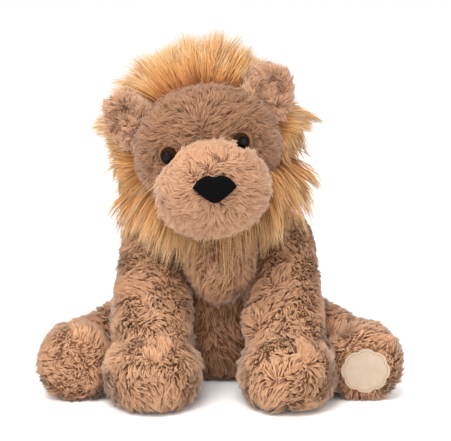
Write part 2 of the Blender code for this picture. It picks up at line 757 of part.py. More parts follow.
nose_middle = Vector((
    NOSE_SIDE_STEP,
    -MUZZLE_FORWARD - MUZZLE_HALF_DEPTH - NOSE_HALF_DEPTH + NOSE_SINK,
    MUZZLE_RISE + NOSE_ABOVE_MUZZLE,
))
nose_half = (NOSE_HALF_WIDTH, NOSE_HALF_DEPTH, NOSE_HALF_HEIGHT)
nose_place = upright(nose_middle) @ Matrix.Rotation(math.radians(NOSE_LEVEL_DEG), 4, "Y")
nose = soft_form("nose", nose_half, nose_place, NOSE_SWELL_SHARES, parent=head_axis, small=True)
finish(cut(nose, MUZZLE_ROOM), plush("nose", VELVET_COLOUR, 0.9))


# Ears: a furred back and a cupped front, sewn into the sides of the head
def ear_place(side):
    middle = Vector((EAR_SPREAD * side, -HEAD_FORWARD + EAR_BACK_SET, HEAD_RISE + EAR_RISE))
    lean = Matrix.Rotation(math.radians(EAR_LEAN_DEG) * side, 4, "Y")
    toe = Matrix.Rotation(math.radians(EAR_TOE_DEG) * side, 4, "Z")
    return Matrix.Translation(middle) @ toe @ lean


EAR_ROOMS = []
ear_half = (EAR_HALF_WIDTH, EAR_HALF_DEPTH, EAR_HALF_HEIGHT)
cup_half = (EAR_HALF_WIDTH * EAR_CUP_SHARE, EAR_CUP_DEPTH, EAR_HALF_HEIGHT * EAR_CUP_SHARE)
for name, side in MIRROR_SHARES:
    place = ear_place(side)
    cup_place = place @ Matrix.Translation((0.0, -EAR_HALF_DEPTH, 0.0))
    cup = soft_form("ear_cup_" + name, cup_half, cup_place, ROUND_SHARES, 0.0, head_axis, True, True)
    spot, facing = place.to_translation(), place.to_3x3() @ Vector((0.0, 1.0, 0.0))
    ear_split = block("ear_behind_" + name, spot - facing * HALF_SEAM, facing, head_axis)
    ear_front = soft_form("ear_front_" + name, ear_half, place, ROUND_SHARES, 0.0, head_axis)
    cut(ear_front, HEAD_ROOM, cup, ear_split, solver="MANIFOLD")
    finish(ear_front, plush("ear_front_" + name, EAR_FUR_COLOUR))
    ear_split = block("ear_before_" + name, spot + facing * HALF_SEAM, -facing, head_axis)
    ear_back = soft_form("ear_back_" + name, ear_half, place, ROUND_SHARES, 0.0, head_axis)
    cut(ear_back, HEAD_ROOM, ear_split, solver="MANIFOLD")
    finish(ear_back, plush("ear_back_" + name, BODY_FUR_COLOUR))
    room = soft_form("ear_room_" + name, ear_half, place, ROUND_SHARES, FIT_GAP, head_axis, True)
    EAR_ROOMS.append(room)


# Mane: a crest over the crown and a back piece, cut away over the shoulders
def mane_piece(name, *sides):
    half = (MANE_HALF_WIDTH, MANE_HALF_DEPTH, MANE_HALF_HEIGHT)
    place = upright((0.0, MANE_BACK_SET, MANE_RISE))
    made = soft_form(name, half, place, ROUND_SHARES, 0.0, head_axis)
    cut(made, *MANE_ROOM_BELOW, HEAD_ROOM, NECK_ROOM, *EAR_ROOMS, *sides)
    return finish(made, plush(name, MANE_FUR_COLOUR))


MANE_ROOM_BELOW = []
for name, side in MIRROR_SHARES:
    slope = math.radians(MANE_FAR_LIFT_DEG if name == "left" else MANE_NEAR_LIFT_DEG)
    facing = (math.sin(slope) * side, 0.0, -math.cos(slope))
    MANE_ROOM_BELOW.append(block("mane_room_" + name, (0.0, 0.0, MANE_ROOM_RISE), facing, head_axis))
crest_y = MANE_BACK_SET + MANE_CREST_SEAM
behind_crest = block("behind_crest", (0.0, crest_y - HALF_SEAM, 0.0), (0.0, 1.0, 0.0), head_axis)
before_back_mane = block("before_back_mane", (0.0, crest_y + HALF_SEAM, 0.0), (0.0, -1.0, 0.0), head_axis)
mane_piece("mane_front", behind_crest)
mane_piece("mane_back", before_back_mane)


# Chest mane: between the arms, on the front of the torso, below the sweep of the chin
chest_half = (CHEST_MANE_HALF_WIDTH, CHEST_MANE_HALF_DEPTH, CHEST_MANE_HALF_HEIGHT)
chest_place = upright((0.0, -CHEST_MANE_FORWARD, NECK_PIVOT.z - CHEST_MANE_DROP))
chest_room = torso_form("chest_room", FIT_GAP)
chin_room = block("chin_room", (0.0, 0.0, NECK_PIVOT.z - CHIN_ROOM_DROP), (0.0, 0.0, 1.0))
chest_mane = soft_form("mane_chest", chest_half, chest_place, ROUND_SHARES)
cut(chest_mane, chest_room, chin_room, *LIMB_ROOM, solver="MANIFOLD")
finish(chest_mane, plush("mane_chest", MANE_FUR_COLOUR))


# Arms: a sleeve and a paw over one filling
for arm in ARMS:
    name = arm.name
    sleeve_hollow = arm.sleeve("arm_hollow_" + name, -PLUSH_WALL)
    sleeve_room = arm.sleeve("arm_room_" + name, FIT_GAP)
    paw_hollow = arm.paw("paw_hollow_" + name, -PLUSH_WALL)
    sleeve = arm.sleeve("arm_skin_" + name, 0.0, cutter=False)
    finish(cut(sleeve, sleeve_hollow, paw_hollow, FLOOR), plush("arm_skin_" + name, BODY_FUR_COLOUR))
    paw = arm.paw("paw_skin_" + name, 0.0, False)
    finish(cut(paw, paw_hollow, sleeve_room, FLOOR), plush("paw_skin_" + name, BODY_FUR_COLOUR))
    fill = arm.sleeve("arm_stuffing_" + name, -PLUSH_WALL - STUFFING_GAP, cutter=False)
    paw_fill = arm.paw("paw_fill_" + name, -PLUSH_WALL - STUFFING_GAP)
    boolean(fill, paw_fill, "UNION")
    finish(cut(fill, seat_floor), plush("arm_stuffing_" + name, FIBRE_COLOUR))


# Legs: a thigh, a foot and its sole over one filling
for leg in LEGS:
    name = leg.name
    thigh_hollow = leg.thigh("leg_hollow_" + name, -PLUSH_WALL)
    thigh_room = leg.thigh("leg_room_" + name, FIT_GAP)
    foot_hollow = leg.foot("foot_hollow_" + name, -PLUSH_WALL)
    sole_y = leg.foot_middle.y - FOOT_HALF_DEPTH + SOLE_TRIM
    front = block("sole_front_" + name, (0.0, sole_y, 0.0), (0.0, -1.0, 0.0), leg.axis)
    sole_seam = sole_y + SOLE_SEAM_DEPTH
    ahead = block("foot_ahead_" + name, (0.0, sole_seam + HALF_SEAM, 0.0), (0.0, -1.0, 0.0), leg.axis)
    after = block("sole_after_" + name, (0.0, sole_seam - HALF_SEAM, 0.0), (0.0, 1.0, 0.0), leg.axis)
    thigh = leg.thigh("leg_skin_" + name, 0.0, cutter=False)
    cut(thigh, thigh_hollow, foot_hollow, FLOOR, solver="MANIFOLD")
    finish(thigh, plush("leg_skin_" + name, BODY_FUR_COLOUR))
    foot = leg.foot("foot_skin_" + name, 0.0, False)
    finish(cut(foot, foot_hollow, thigh_room, ahead, FLOOR), plush("foot_skin_" + name, BODY_FUR_COLOUR))
    sole = leg.foot("foot_sole_" + name, 0.0, False)
    cut(sole, foot_hollow, thigh_room, front, after, FLOOR)
    finish(sole, plush("foot_sole_" + name, BODY_FUR_COLOUR))
    fill = leg.thigh("leg_stuffing_" + name, -PLUSH_WALL - STUFFING_GAP, cutter=False)
    boolean(fill, leg.foot("foot_fill_" + name, -PLUSH_WALL - STUFFING_GAP), "UNION")
    finish(cut(fill, seat_floor), plush("leg_stuffing_" + name, FIBRE_COLOUR))


# Sole patch on the left foot: a lobed disc, and a ring of stitching on its face
def lobed(share, angle):
    """A point of the patch's outline, or of a line inside it, in shares of its half sizes."""
    swell = share * (1.0 + PATCH_LOBE_SHARE * math.cos(PATCH_LOBES * angle))
    return (PATCH_HALF_WIDTH * swell * math.cos(angle), PATCH_HALF_HEIGHT * swell * math.sin(angle))


def closed_curve(name, points, radius=0.0):
    """A closed outline: filled flat, or a round thread of a radius along it."""
    curve = bpy.data.curves.new(name, "CURVE")
    line = curve.splines.new("POLY")
    line.points.add(len(points) - 1)
    for spot, (across, up) in zip(line.points, points):
        spot.co = (across, up, 0.0, 1.0)
    line.use_cyclic_u = True
    if radius:
        curve.dimensions = "3D"
        curve.bevel_depth = radius
        curve.bevel_resolution = 0
    else:
        curve.dimensions = "2D"
        curve.fill_mode = "BOTH"
        curve.extrude = PATCH_THICKNESS / 2
    return curve


patch_leg = LEGS[0]
sole_y = patch_leg.foot_middle.y - FOOT_HALF_DEPTH + SOLE_TRIM
face_out = Matrix.Rotation(math.radians(90.0), 4, "X")
patch_middle = Vector((
    patch_leg.foot_middle.x,
    sole_y - SEAM_GAP - PATCH_THICKNESS / 2,
    patch_leg.foot_middle.z - PATCH_DROP,
))
angles = [math.tau * i / PATCH_STEPS for i in range(PATCH_STEPS)]
inset_share = 1.0 - STITCH_INSET / PATCH_HALF_WIDTH
stitch_middle = patch_middle - Vector((0.0, PATCH_THICKNESS / 2 + SEAM_GAP + STITCH_RADIUS, 0.0))
for name, share, radius, middle, colour in (
    ("foot_patch", 1.0, 0.0, patch_middle, LEATHERETTE_COLOUR),
    ("patch_stitching", inset_share, STITCH_RADIUS, stitch_middle, THREAD_COLOUR),
):
    made = bpy.data.objects.new(name, closed_curve(name, [lobed(share, a) for a in angles], radius))
    PARTS.objects.link(made)
    made.parent = patch_leg.axis
    made.matrix_local = Matrix.Translation(middle) @ face_out
    weld = made.modifiers.new("Weld", "WELD")
    weld.merge_threshold = MERGE_DISTANCE
    finish(made, plush(name, colour, 0.5))


# Tail: a plush tube on its filling, curled on the ground behind the seat, with a fur tuft
tail_axis = pivot("tail_axis", TAIL_ROOT)
tail_ground = TAIL_RADIUS + TAIL_FLOOR_GAP - TAIL_ROOT.z


def tail_point(share):
    """The middle of the tail at a share of its length: out, down to the ground and round."""
    settle = min(1.0, share / TAIL_SETTLE_SHARE)
    ease = settle * settle * (3.0 - 2.0 * settle)
    angle = math.radians(TAIL_SWEEP_DEG) * share
    return Vector((
        TAIL_REACH * (1.0 - math.cos(angle)) / 2,
        TAIL_BACK * math.sin(angle),
        tail_ground * ease,
    ))


def tail_tube(name, radius, points, cutter=False):
    curve = bpy.data.curves.new(name, "CURVE")
    curve.dimensions = "3D"
    curve.bevel_depth = radius
    curve.bevel_resolution = 1
    curve.use_fill_caps = True
    line = curve.splines.new("POLY")
    line.points.add(len(points) - 1)
    for spot, point in zip(line.points, points):
        spot.co = (*point, 1.0)
    raw = bpy.data.objects.new(name + "_curve", curve)
    CUTTERS.objects.link(raw)
    seen = raw.evaluated_get(bpy.context.evaluated_depsgraph_get())
    mesh = bpy.data.meshes.new_from_object(seen)
    bpy.data.objects.remove(raw, do_unlink=True)
    shape = bmesh.new()
    shape.from_mesh(mesh)
    bmesh.ops.remove_doubles(shape, verts=shape.verts, dist=MERGE_DISTANCE)
    bmesh.ops.recalc_face_normals(shape, faces=shape.faces)
    shape.to_mesh(mesh)
    shape.free()
    mesh.name = name
    mesh.shade_smooth()
    return link(name, mesh, tail_axis, cutter)


points = [tail_point(i / (TAIL_POINTS - 1)) for i in range(TAIL_POINTS)]
past_root = points[0] - (points[1] - points[0])
tail_skin = tail_tube("tail_skin", TAIL_RADIUS, points)
tail_hollow = tail_tube("tail_hollow", TAIL_RADIUS - TAIL_WALL, [past_root, *points[:-1]], True)
finish(cut(tail_skin, tail_hollow), plush("tail_skin", BODY_FUR_COLOUR))
fill_end = points[-3].lerp(points[-2], TAIL_FILL_SHARE)
tail_fill = tail_tube("tail_stuffing", TAIL_RADIUS - TAIL_WALL - FIT_GAP, [*points[:-2], fill_end])
finish(tail_fill, plush("tail_stuffing", FIBRE_COLOUR))
tuft_way = (points[-1] - points[-2]).normalized()
tuft_middle = points[-1] + tuft_way * TUFT_HALF_LENGTH * TUFT_OUT_SHARE
tuft_middle.z = TUFT_HALF_WIDTH + TAIL_FLOOR_GAP - TAIL_ROOT.z
tuft_reach = tuft_way * TUFT_HALF_LENGTH
tuft_place = along(tuft_middle - tuft_reach, tuft_middle + tuft_reach)
tuft_half = (TUFT_HALF_WIDTH, TUFT_HALF_WIDTH, TUFT_HALF_LENGTH)
tuft = soft_form("tail_tuft", tuft_half, tuft_place, ROUND_SHARES, parent=tail_axis, small=True)
tail_room = tail_tube("tail_room", TAIL_RADIUS + FIT_GAP, points, True)
finish(cut(tuft, tail_room), plush("tail_tuft", MANE_FUR_COLOUR))
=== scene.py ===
import math

import bmesh
import bpy
import numpy as np
from mathutils import Matrix, Vector
from mathutils.bvhtree import BVHTree
from mathutils.kdtree import KDTree


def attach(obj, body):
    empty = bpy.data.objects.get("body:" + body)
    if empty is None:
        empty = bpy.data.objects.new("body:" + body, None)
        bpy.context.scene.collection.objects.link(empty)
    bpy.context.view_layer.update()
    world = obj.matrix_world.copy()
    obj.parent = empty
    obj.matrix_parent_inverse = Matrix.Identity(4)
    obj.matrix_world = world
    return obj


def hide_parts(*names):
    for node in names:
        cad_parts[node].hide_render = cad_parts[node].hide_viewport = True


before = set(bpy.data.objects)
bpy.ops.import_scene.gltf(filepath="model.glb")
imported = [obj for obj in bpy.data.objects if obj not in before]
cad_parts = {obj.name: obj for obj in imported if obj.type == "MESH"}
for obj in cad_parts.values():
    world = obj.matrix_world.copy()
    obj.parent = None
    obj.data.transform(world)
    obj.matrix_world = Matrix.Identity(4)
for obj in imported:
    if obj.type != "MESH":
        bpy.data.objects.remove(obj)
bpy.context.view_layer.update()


# The view: a camera a little above the lion's eyes and straight in front of it, a large soft
# lamp over its head, a fill from each side, and a pale floor under a white room.
view = bpy.data.cameras.new("front_view")
view.lens = 117.63
view.sensor_width = 36.0
view.shift_x = 0.0122
view.shift_y = 0.0168
view.clip_end = 30.0
camera = bpy.data.objects.new("front_view", view)
camera.location = (0.0, -1.2692, 0.4164)
camera.rotation_euler = (math.radians(77.5), 0.0, 0.0)
bpy.context.scene.collection.objects.link(camera)
bpy.context.scene.camera = camera
bpy.context.scene.view_settings.view_transform = "Standard"

for name, place, size, power in (
    ("lamp_overhead", (-0.25, -0.72, 1.35), 0.9, 20.0),
    ("lamp_left", (-1.30, -1.20, 0.60), 1.0, 7.5),
    ("lamp_right", (1.35, -1.10, 0.50), 1.0, 5.0),
    ("lamp_behind", (0.2, 1.30, 1.20), 1.0, 5.0),
):
    lamp = bpy.data.lights.new(name, "AREA")
    lamp.size = size
    lamp.energy = power
    lamp_object = bpy.data.objects.new(name, lamp)
    lamp_object.location = place
    aim = Vector((0.0, 0.0, 0.15)) - Vector(place)
    lamp_object.rotation_euler = aim.to_track_quat("-Z", "Y").to_euler()
    bpy.context.scene.collection.objects.link(lamp_object)

room = bpy.data.worlds.new("white_room")
room.use_nodes = True
room.node_tree.nodes["Background"].inputs["Color"].default_value = (1.0, 1.0, 1.0, 1.0)
room.node_tree.nodes["Background"].inputs["Strength"].default_value = 1.0
bpy.context.scene.world = room

floor_shape = bmesh.new()
bmesh.ops.create_grid(floor_shape, x_segments=1, y_segments=1, size=12.0)
floor_mesh = bpy.data.meshes.new("studio_floor")
floor_shape.to_mesh(floor_mesh)
floor_shape.free()
floor = bpy.data.objects.new("studio_floor", floor_mesh)
floor_paint = bpy.data.materials.new("pale_floor")
floor_paint.use_nodes = True
floor_paint.node_tree.nodes["Principled BSDF"].inputs["Base Color"].default_value = (0.99, 0.99, 0.99, 1.0)
floor_paint.node_tree.nodes["Principled BSDF"].inputs["Roughness"].default_value = 0.9
floor_mesh.materials.append(floor_paint)
bpy.context.scene.collection.objects.link(floor)


# Torso: a stuffed bag of plush in three panels, wide and heavy at the seat, narrow at the
# shoulders. The skin is knitted backing; its pile is curly, about 10 mm long, and lies in swirls.
class Tone:
    """A socket of one material's nodes, so that its pattern can be written as arithmetic."""

    def __init__(self, tree, socket=None):
        self.tree, self.socket = tree, socket

    def node(self, kind, settings=None, values=None, output=0):
        made = self.tree.nodes.new(kind)
        for key, value in (settings or {}).items():
            if key == "stops":
                ramp = made.color_ramp
                while len(ramp.elements) < len(value):
                    ramp.elements.new(0.5)
                for stop, (place, colour) in zip(ramp.elements, value):
                    stop.position = place
                    stop.color = (*colour, 1.0)
            else:
                setattr(made, key, value)
        for key, value in (values or {}).items():
            if isinstance(value, Tone):
                self.tree.links.new(value.socket, made.inputs[key])
            else:
                made.inputs[key].default_value = value
        return Tone(self.tree, made.outputs[output])

    def sum(self, operation, first, second):
        return self.node("ShaderNodeMath", {"operation": operation}, {0: first, 1: second})

    def __add__(self, other):
        return self.sum("ADD", self, other)

    def __radd__(self, other):
        return self.sum("ADD", other, self)

    def __sub__(self, other):
        return self.sum("SUBTRACT", self, other)

    def __rsub__(self, other):
        return self.sum("SUBTRACT", other, self)

    def __mul__(self, other):
        return self.sum("MULTIPLY", self, other)

    def __rmul__(self, other):
        return self.sum("MULTIPLY", other, self)

    def __truediv__(self, other):
        return self.sum("DIVIDE", self, other)

    def mix(self, low, high):
        """Two colours or tones, mixed by this socket from 0 to 1."""
        low = low if isinstance(low, Tone) else (*low, 1.0)
        high = high if isinstance(high, Tone) else (*high, 1.0)
        return self.node("ShaderNodeMix", {"data_type": "RGBA"}, {0: self, 6: low, 7: high}, 2)

    def noise(self, place, scale, detail=3.0, rough=0.55):
        values = {"Vector": place, "Scale": scale, "Detail": detail, "Roughness": rough}
        return self.node("ShaderNodeTexNoise", None, values)

    def place(self):
        """Object coordinates."""
        return self.node("ShaderNodeTexCoord", output=3)

    def ramp(self, stops):
        return self.node("ShaderNodeValToRGB", {"stops": stops}, {0: self})

    def between(self, low, high):
        """0 at low, 1 at high, and smooth in between."""
        settings = {"interpolation_type": "SMOOTHSTEP"}
        return self.node("ShaderNodeMapRange", settings, {"Value": self, "From Min": low, "From Max": high})


def finish_of(name, roughness, **constants):
    """A material with its constant sockets set; gives it, its shader and a first Tone."""
    made = bpy.data.materials.new(name)
    made.use_nodes = True
    shader = made.node_tree.nodes["Principled BSDF"]
    shader.inputs["Roughness"].default_value = roughness
    for key, value in constants.items():
        shader.inputs[key.replace("_", " ")].default_value = value
    return made, shader, Tone(made.node_tree)


def paint(shader, start, colour, height=None, strength=0.3, distance=0.001):
    start.tree.links.new(colour.socket, shader.inputs["Base Color"])
    if height:
        values = {"Height": height, "Strength": strength, "Distance": distance}
        bump = start.node("ShaderNodeBump", None, values)
        start.tree.links.new(bump.socket, shader.inputs["Normal"])


def backing(name, dark, light):
    """Knitted backing, seen only where the pile parts."""
    made, shader, start = finish_of(name, 0.95)
    place = start.place()
    cloud = start.noise(place, 60.0)
    knit = start.node("ShaderNodeTexVoronoi", None, {"Vector": place, "Scale": 900.0})
    paint(shader, start, (cloud * 0.7 + knit * 0.3).mix(dark, light), knit, 0.4, 0.0004)
    return made


def fur_finish(name, dark, light, sheen=0.25):
    """Pile: the strand's own map runs from root to tip in V and from a dark to a light strand in U."""
    made, shader, start = finish_of(name, 0.62, Sheen_Weight=sheen, Sheen_Roughness=0.5)
    own = start.node("ShaderNodeUVMap", {"uv_map": "strand"})
    split = own.node("ShaderNodeSeparateXYZ", None, {0: own})
    length = Tone(made.node_tree, split.socket.node.outputs[1])
    paint(shader, start, split.mix(length.ramp(dark), length.ramp(light)))
    return made


def share_at(table, height):
    """The girth and forward shares of a form at a height from -1 to 1."""
    heights = [row[0] for row in table]
    return [float(np.interp(height, heights, [row[i] for row in table])) for i in (1, 2)]


def solid_from(name, shape):
    mesh = bpy.data.meshes.new(name)
    shape.to_mesh(mesh)
    shape.free()
    made = bpy.data.objects.new(name, mesh)
    bpy.context.scene.collection.objects.link(made)
    return made


def baked(made):
    """The object with its modifiers worked into its mesh."""
    seen = made.evaluated_get(bpy.context.evaluated_depsgraph_get())
    mesh = bpy.data.meshes.new_from_object(seen)
    made.modifiers.clear()
    old = made.data
    made.data = mesh
    bpy.data.meshes.remove(old)
    mesh.name = made.name
    return made


ROUND = ((-1.0, 1.0, 0.0), (1.0, 1.0, 0.0))


def stuffed(name, forms, voxel=0.0030, rounds=4, seat=0.0012, shape_more=None):
    """Swelling forms, each of half sizes, a place and a girth table, joined under one skin."""
    shape = bmesh.new()
    for half, place, girths in forms:
        corners = bmesh.ops.create_uvsphere(shape, u_segments=36, v_segments=24, radius=1.0)["verts"]
        for corner in corners:
            girth, forward = share_at(girths, corner.co.z)
            corner.co = Vector((
                corner.co.x * girth * half[0],
                corner.co.y * girth * half[1] + forward * half[1],
                corner.co.z * half[2],
            ))
        bmesh.ops.transform(shape, matrix=place, verts=corners)
    made = solid_from(name, shape)
    skin = made.modifiers.new("Skin", "REMESH")
    skin.mode = "VOXEL"
    skin.voxel_size = voxel
    baked(made)
    shape = bmesh.new()
    shape.from_mesh(made.data)
    for _ in range(rounds):
        bmesh.ops.smooth_vert(
            shape, verts=shape.verts, factor=0.5, use_axis_x=True, use_axis_y=True, use_axis_z=True
        )
    if shape_more:
        shape_more(shape)
    for corner in shape.verts:
        corner.co.z = max(corner.co.z, seat)
    shape.to_mesh(made.data)
    shape.free()
    made.data.shade_smooth()
    return made


def unit(rows):
    return rows / np.maximum(np.linalg.norm(rows, axis=1, keepdims=True), 1e-9)


def across(rows, out):
    """The part of each row that lies in the skin, at unit length."""
    return unit(rows - out * np.sum(rows * out, axis=1, keepdims=True))


def turned_about(rows, axis, angle):
    """Rows turned about unit axes by angles."""
    cos, sin = np.cos(angle)[:, None], np.sin(angle)[:, None]
    along = axis * np.sum(axis * rows, axis=1, keepdims=True)
    return rows * cos + np.cross(axis, rows) * sin + along * (1 - cos)


def grow_pile(
    name, skin, look, count, seed, length, width, comb,
    keep=None, steps=3, rise=(52.0, 12.0), swirl=1.2, swirl_size=0.010, lock=0.0032, pull=0.45,
    curl=0.5, droop=0.0, softness=0.45, size_of=None, tone_of=None, stray=0.30, wild=0.0,
    avoid=(), ground=0.0004, sides=2, longest=1.36,
):
    """Strands of pile on a skin, as one mesh of tapered blades, or of prisms with more sides.

    The pile turns in swirls of one size, and its tips gather in locks of another. Lengths are in
    metres, and rise is in degrees off the skin at root and tip. A share of the locks, wild, is
    longer than the rest, and no strand is past longest times the length. comb, keep, size_of and
    tone_of take roots and outward directions, and give directions, chances, sizes and tones.
    """
    rng = np.random.default_rng(seed)
    mesh = skin.data
    mesh.calc_loop_triangles()
    corners = np.empty(len(mesh.vertices) * 3)
    mesh.vertices.foreach_get("co", corners)
    corners = corners.reshape(-1, 3)
    facing = np.empty(len(mesh.vertices) * 3)
    mesh.vertex_normals.foreach_get("vector", facing)
    facing = facing.reshape(-1, 3)
    thirds = np.empty(len(mesh.loop_triangles) * 3, dtype=np.int32)
    mesh.loop_triangles.foreach_get("vertices", thirds)
    thirds = thirds.reshape(-1, 3)
    a, b, c = (corners[thirds[:, i]] for i in range(3))
    area = np.linalg.norm(np.cross(b - a, c - a), axis=1) / 2
    chance = area.copy()
    if keep is not None:
        chance *= np.clip(keep((a + b + c) / 3, unit(facing[thirds].mean(axis=1))), 0.0, 1.0)
    used_area = float(np.sum(area[chance > 0.0]))
    picked = rng.choice(len(area), count, p=chance / chance.sum())
    u, v = np.sqrt(rng.random(count))[:, None], rng.random(count)[:, None]
    shares = (1 - u, u * (1 - v), u * v)
    root = sum(share * corners[thirds[picked, i]] for i, share in enumerate(shares))
    out = unit(sum(share * facing[thirds[picked, i]] for i, share in enumerate(shares)))

    def scattered(spacing):
        """Some of the roots, about a spacing apart, with a tree to find them by."""
        chosen = rng.choice(count, max(5, min(count, int(used_area / spacing**2))), replace=False)
        tree = KDTree(len(chosen))
        for number, one in enumerate(chosen):
            tree.insert(root[one], number)
        tree.balance()
        return chosen, tree

    centres, tree = scattered(swirl_size)
    centre_way = across(comb(root[centres], out[centres]), out[centres])
    centre_way = turned_about(centre_way, out[centres], rng.normal(0.0, swirl, len(centres)))
    centre_bend = rng.choice([-1.0, 1.0], len(centres)) * rng.uniform(0.5, 1.4, len(centres)) * curl
    near = [tree.find_n(spot, 4) for spot in root.tolist()]
    which = np.array([[found[1] for found in row] for row in near])
    weight = 1.0 / (np.array([[found[2] for found in row] for row in near]) ** 2 + (0.25 * swirl_size) ** 2)
    weight /= weight.sum(axis=1, keepdims=True)
    way = across(np.einsum("ij,ijk->ik", weight, centre_way[which]), out)
    bend = np.sum(weight * centre_bend[which], axis=1)

    heads, tree = scattered(lock)
    group = np.array([tree.find(spot)[1] for spot in (root + rng.normal(0.0, lock / 5, root.shape)).tolist()])
    lock_size = rng.uniform(0.80, 1.12, len(heads))
    is_wild = rng.random(len(heads)) < wild
    lock_size = np.where(is_wild, lock_size * rng.uniform(1.15, 1.5, len(heads)), lock_size)
    lock_rise = rng.uniform(-9.0, 9.0, len(heads))[group]
    sizes = lock_size[group] * rng.uniform(0.78, 1.14, count)
    if size_of is not None:
        sizes = sizes * size_of(root, out)
    sizes = np.minimum(sizes, longest)

    step_length = (length * sizes / steps)[:, None]
    way = across(way + rng.normal(0.0, stray, (count, 3)), out)
    points = [root]
    for step in range(steps):
        share = step / max(1, steps - 1)
        angle = np.radians(np.clip(rise[0] + (rise[1] - rise[0]) * share + lock_rise, 4.0, 88.0))
        ahead = way * np.cos(angle)[:, None] + out * np.sin(angle)[:, None]
        ahead[:, 2] -= droop * (step + 1) / steps
        points.append(points[-1] + unit(ahead) * step_length)
        way = turned_about(way, out, bend)
    points = np.array(points)
    middle = points[:, heads].copy()
    for step in range(1, steps + 1):
        share = pull * (step / steps) ** 1.3 * rng.uniform(0.5, 1.2, (count, 1))
        axis = middle[step][group] + 0.2 * (root - root[heads][group])
        points[step] = points[step] * (1 - share) + axis * share
    for tree_of, clear in avoid:
        for step in range(1, steps + 1):
            for i, spot in enumerate(points[step].tolist()):
                near, normal, _, _ = tree_of.find_nearest(Vector(spot), 0.05)
                if near is None:
                    continue
                depth = (Vector(spot) - near).dot(normal)
                if depth < clear:
                    points[step, i] = near + normal * clear * (0.8 + 0.4 * step / steps)
    points[:, :, 2] = np.maximum(points[:, :, 2], ground)

    spin = rng.uniform(-0.25, 0.25, count) if sides == 2 else rng.uniform(0.0, math.tau, count)
    girth = width * rng.uniform(0.75, 1.2, count)
    corners, shading = [], []
    for step in range(steps):
        ahead = unit(points[step + 1] - points[step])
        wide = turned_about(unit(np.cross(ahead, out)), ahead, spin)
        flat = unit(np.cross(wide, ahead))
        half = (girth * (1.0 - 0.75 * (step / steps) ** 1.5) / 2)[:, None]
        for side in range(sides):
            angle = math.tau * side / sides
            away = -wide * math.cos(angle) + flat * math.sin(angle)
            corners.append(points[step] + away * half)
            facing_way = flat if sides == 2 else away
            shading.append(unit(facing_way * (1 - softness) + out * softness))
    corners.append(points[steps])
    shading.append(unit(flat * (1 - softness) + out * softness))
    places = np.stack(corners, axis=1).reshape(-1, 3)
    places[:, 2] = np.maximum(places[:, 2], ground)
    shading = np.stack(shading, axis=1).reshape(-1, 3)
    per_strand = sides * steps + 1

    pattern = []
    walls = 1 if sides == 2 else sides
    for step in range(steps):
        for wall in range(walls):
            low, low_next = sides * step + wall, sides * step + (wall + 1) % sides
            if step < steps - 1:
                pattern += [(low, low_next, low_next + sides), (low, low_next + sides, low + sides)]
            else:
                pattern.append((low, low_next, per_strand - 1))
    pattern = np.array(pattern, dtype=np.int32)
    loops = (np.arange(count, dtype=np.int32)[:, None, None] * per_strand + pattern[None]).reshape(-1)

    made_mesh = bpy.data.meshes.new(name)
    made_mesh.vertices.add(len(places))
    made_mesh.vertices.foreach_set("co", places.reshape(-1).astype(np.float32))
    made_mesh.loops.add(len(loops))
    made_mesh.loops.foreach_set("vertex_index", loops)
    made_mesh.polygons.add(len(loops) // 3)
    made_mesh.polygons.foreach_set("loop_start", np.arange(0, len(loops), 3, dtype=np.int32))
    made_mesh.update(calc_edges=True)
    made_mesh.shade_smooth()

    tone = rng.normal(0.5, 0.10, count) + rng.normal(0.0, 0.13, len(heads))[group]
    if tone_of is not None:
        tone = tone + tone_of(root, out)
    tone = np.clip(tone, 0.02, 0.97)
    places_across = [0.008 * (i % sides) / (sides - 1) - 0.004 for i in range(sides * steps)]
    across_map = np.repeat(tone, per_strand) + np.tile(np.array([*places_across, 0.0]), count)
    places_along = [(i // sides) / steps for i in range(sides * steps)]
    along_map = np.tile(np.array([*places_along, 1.0]) * 0.96 + 0.02, count)
    chart = np.stack([across_map, along_map], axis=1)[loops]
    made_mesh.uv_layers.new(name="strand")
    made_mesh.uv_layers["strand"].uv.foreach_set("vector", chart.reshape(-1).astype(np.float32))
    made_mesh.normals_split_custom_set_from_vertices(shading.tolist())
    made_mesh.materials.append(look)
    made = bpy.data.objects.new(name, made_mesh)
    bpy.context.scene.collection.objects.link(made)
    return made


def shut(made):
    return BVHTree.FromObject(made, bpy.context.evaluated_depsgraph_get())


def depth_in(tree_of, spots):
    """How far each spot lies outside a skin; negative inside."""
    found = np.empty(len(spots))
    for i, spot in enumerate(spots):
        near, normal, _, distance = tree_of.find_nearest(Vector(spot))
        found[i] = distance if (Vector(spot) - near).dot(normal) > 0 else -distance
    return found


BODY_BACKING = backing("tan_backing", (0.16, 0.07, 0.033), (0.25, 0.115, 0.057))
TAN_FUR = fur_finish(
    "tan_curly_pile",
    ((0.0, (0.250, 0.108, 0.048)), (0.45, (0.375, 0.170, 0.077)), (1.0, (0.510, 0.258, 0.130))),
    ((0.0, (0.310, 0.132, 0.060)), (0.45, (0.510, 0.245, 0.118)), (1.0, (0.700, 0.405, 0.228))),
)
SKIN_IN = 0.0045
torso_half = (0.062 - SKIN_IN, 0.058 - SKIN_IN, 0.0862 - SKIN_IN)
torso_girths = (
    (-1.0, 1.60, 0.0), (-0.866, 1.60, 0.0), (-0.5, 1.12, 0.0), (0.0, 0.94, -0.05),
    (0.5, 0.86, -0.17), (0.866, 1.00, -0.22), (1.0, 1.00, -0.22),
)
neck_pivot = Vector((0.0, 0.014, 0.1524))
torso_skin = stuffed("torso_skin", (
    (torso_half, Matrix.Translation((0.0, 0.030, 0.0857)), torso_girths),
    ((0.046, 0.034, 0.034), Matrix.Translation((0.0, 0.004, 0.034)), ROUND),
    ((0.040 - SKIN_IN,) * 3, Matrix.Translation(neck_pivot), ROUND),
))
torso_skin.data.materials.append(BODY_BACKING)
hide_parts("belly_panel", "back_panel_left", "back_panel_right")
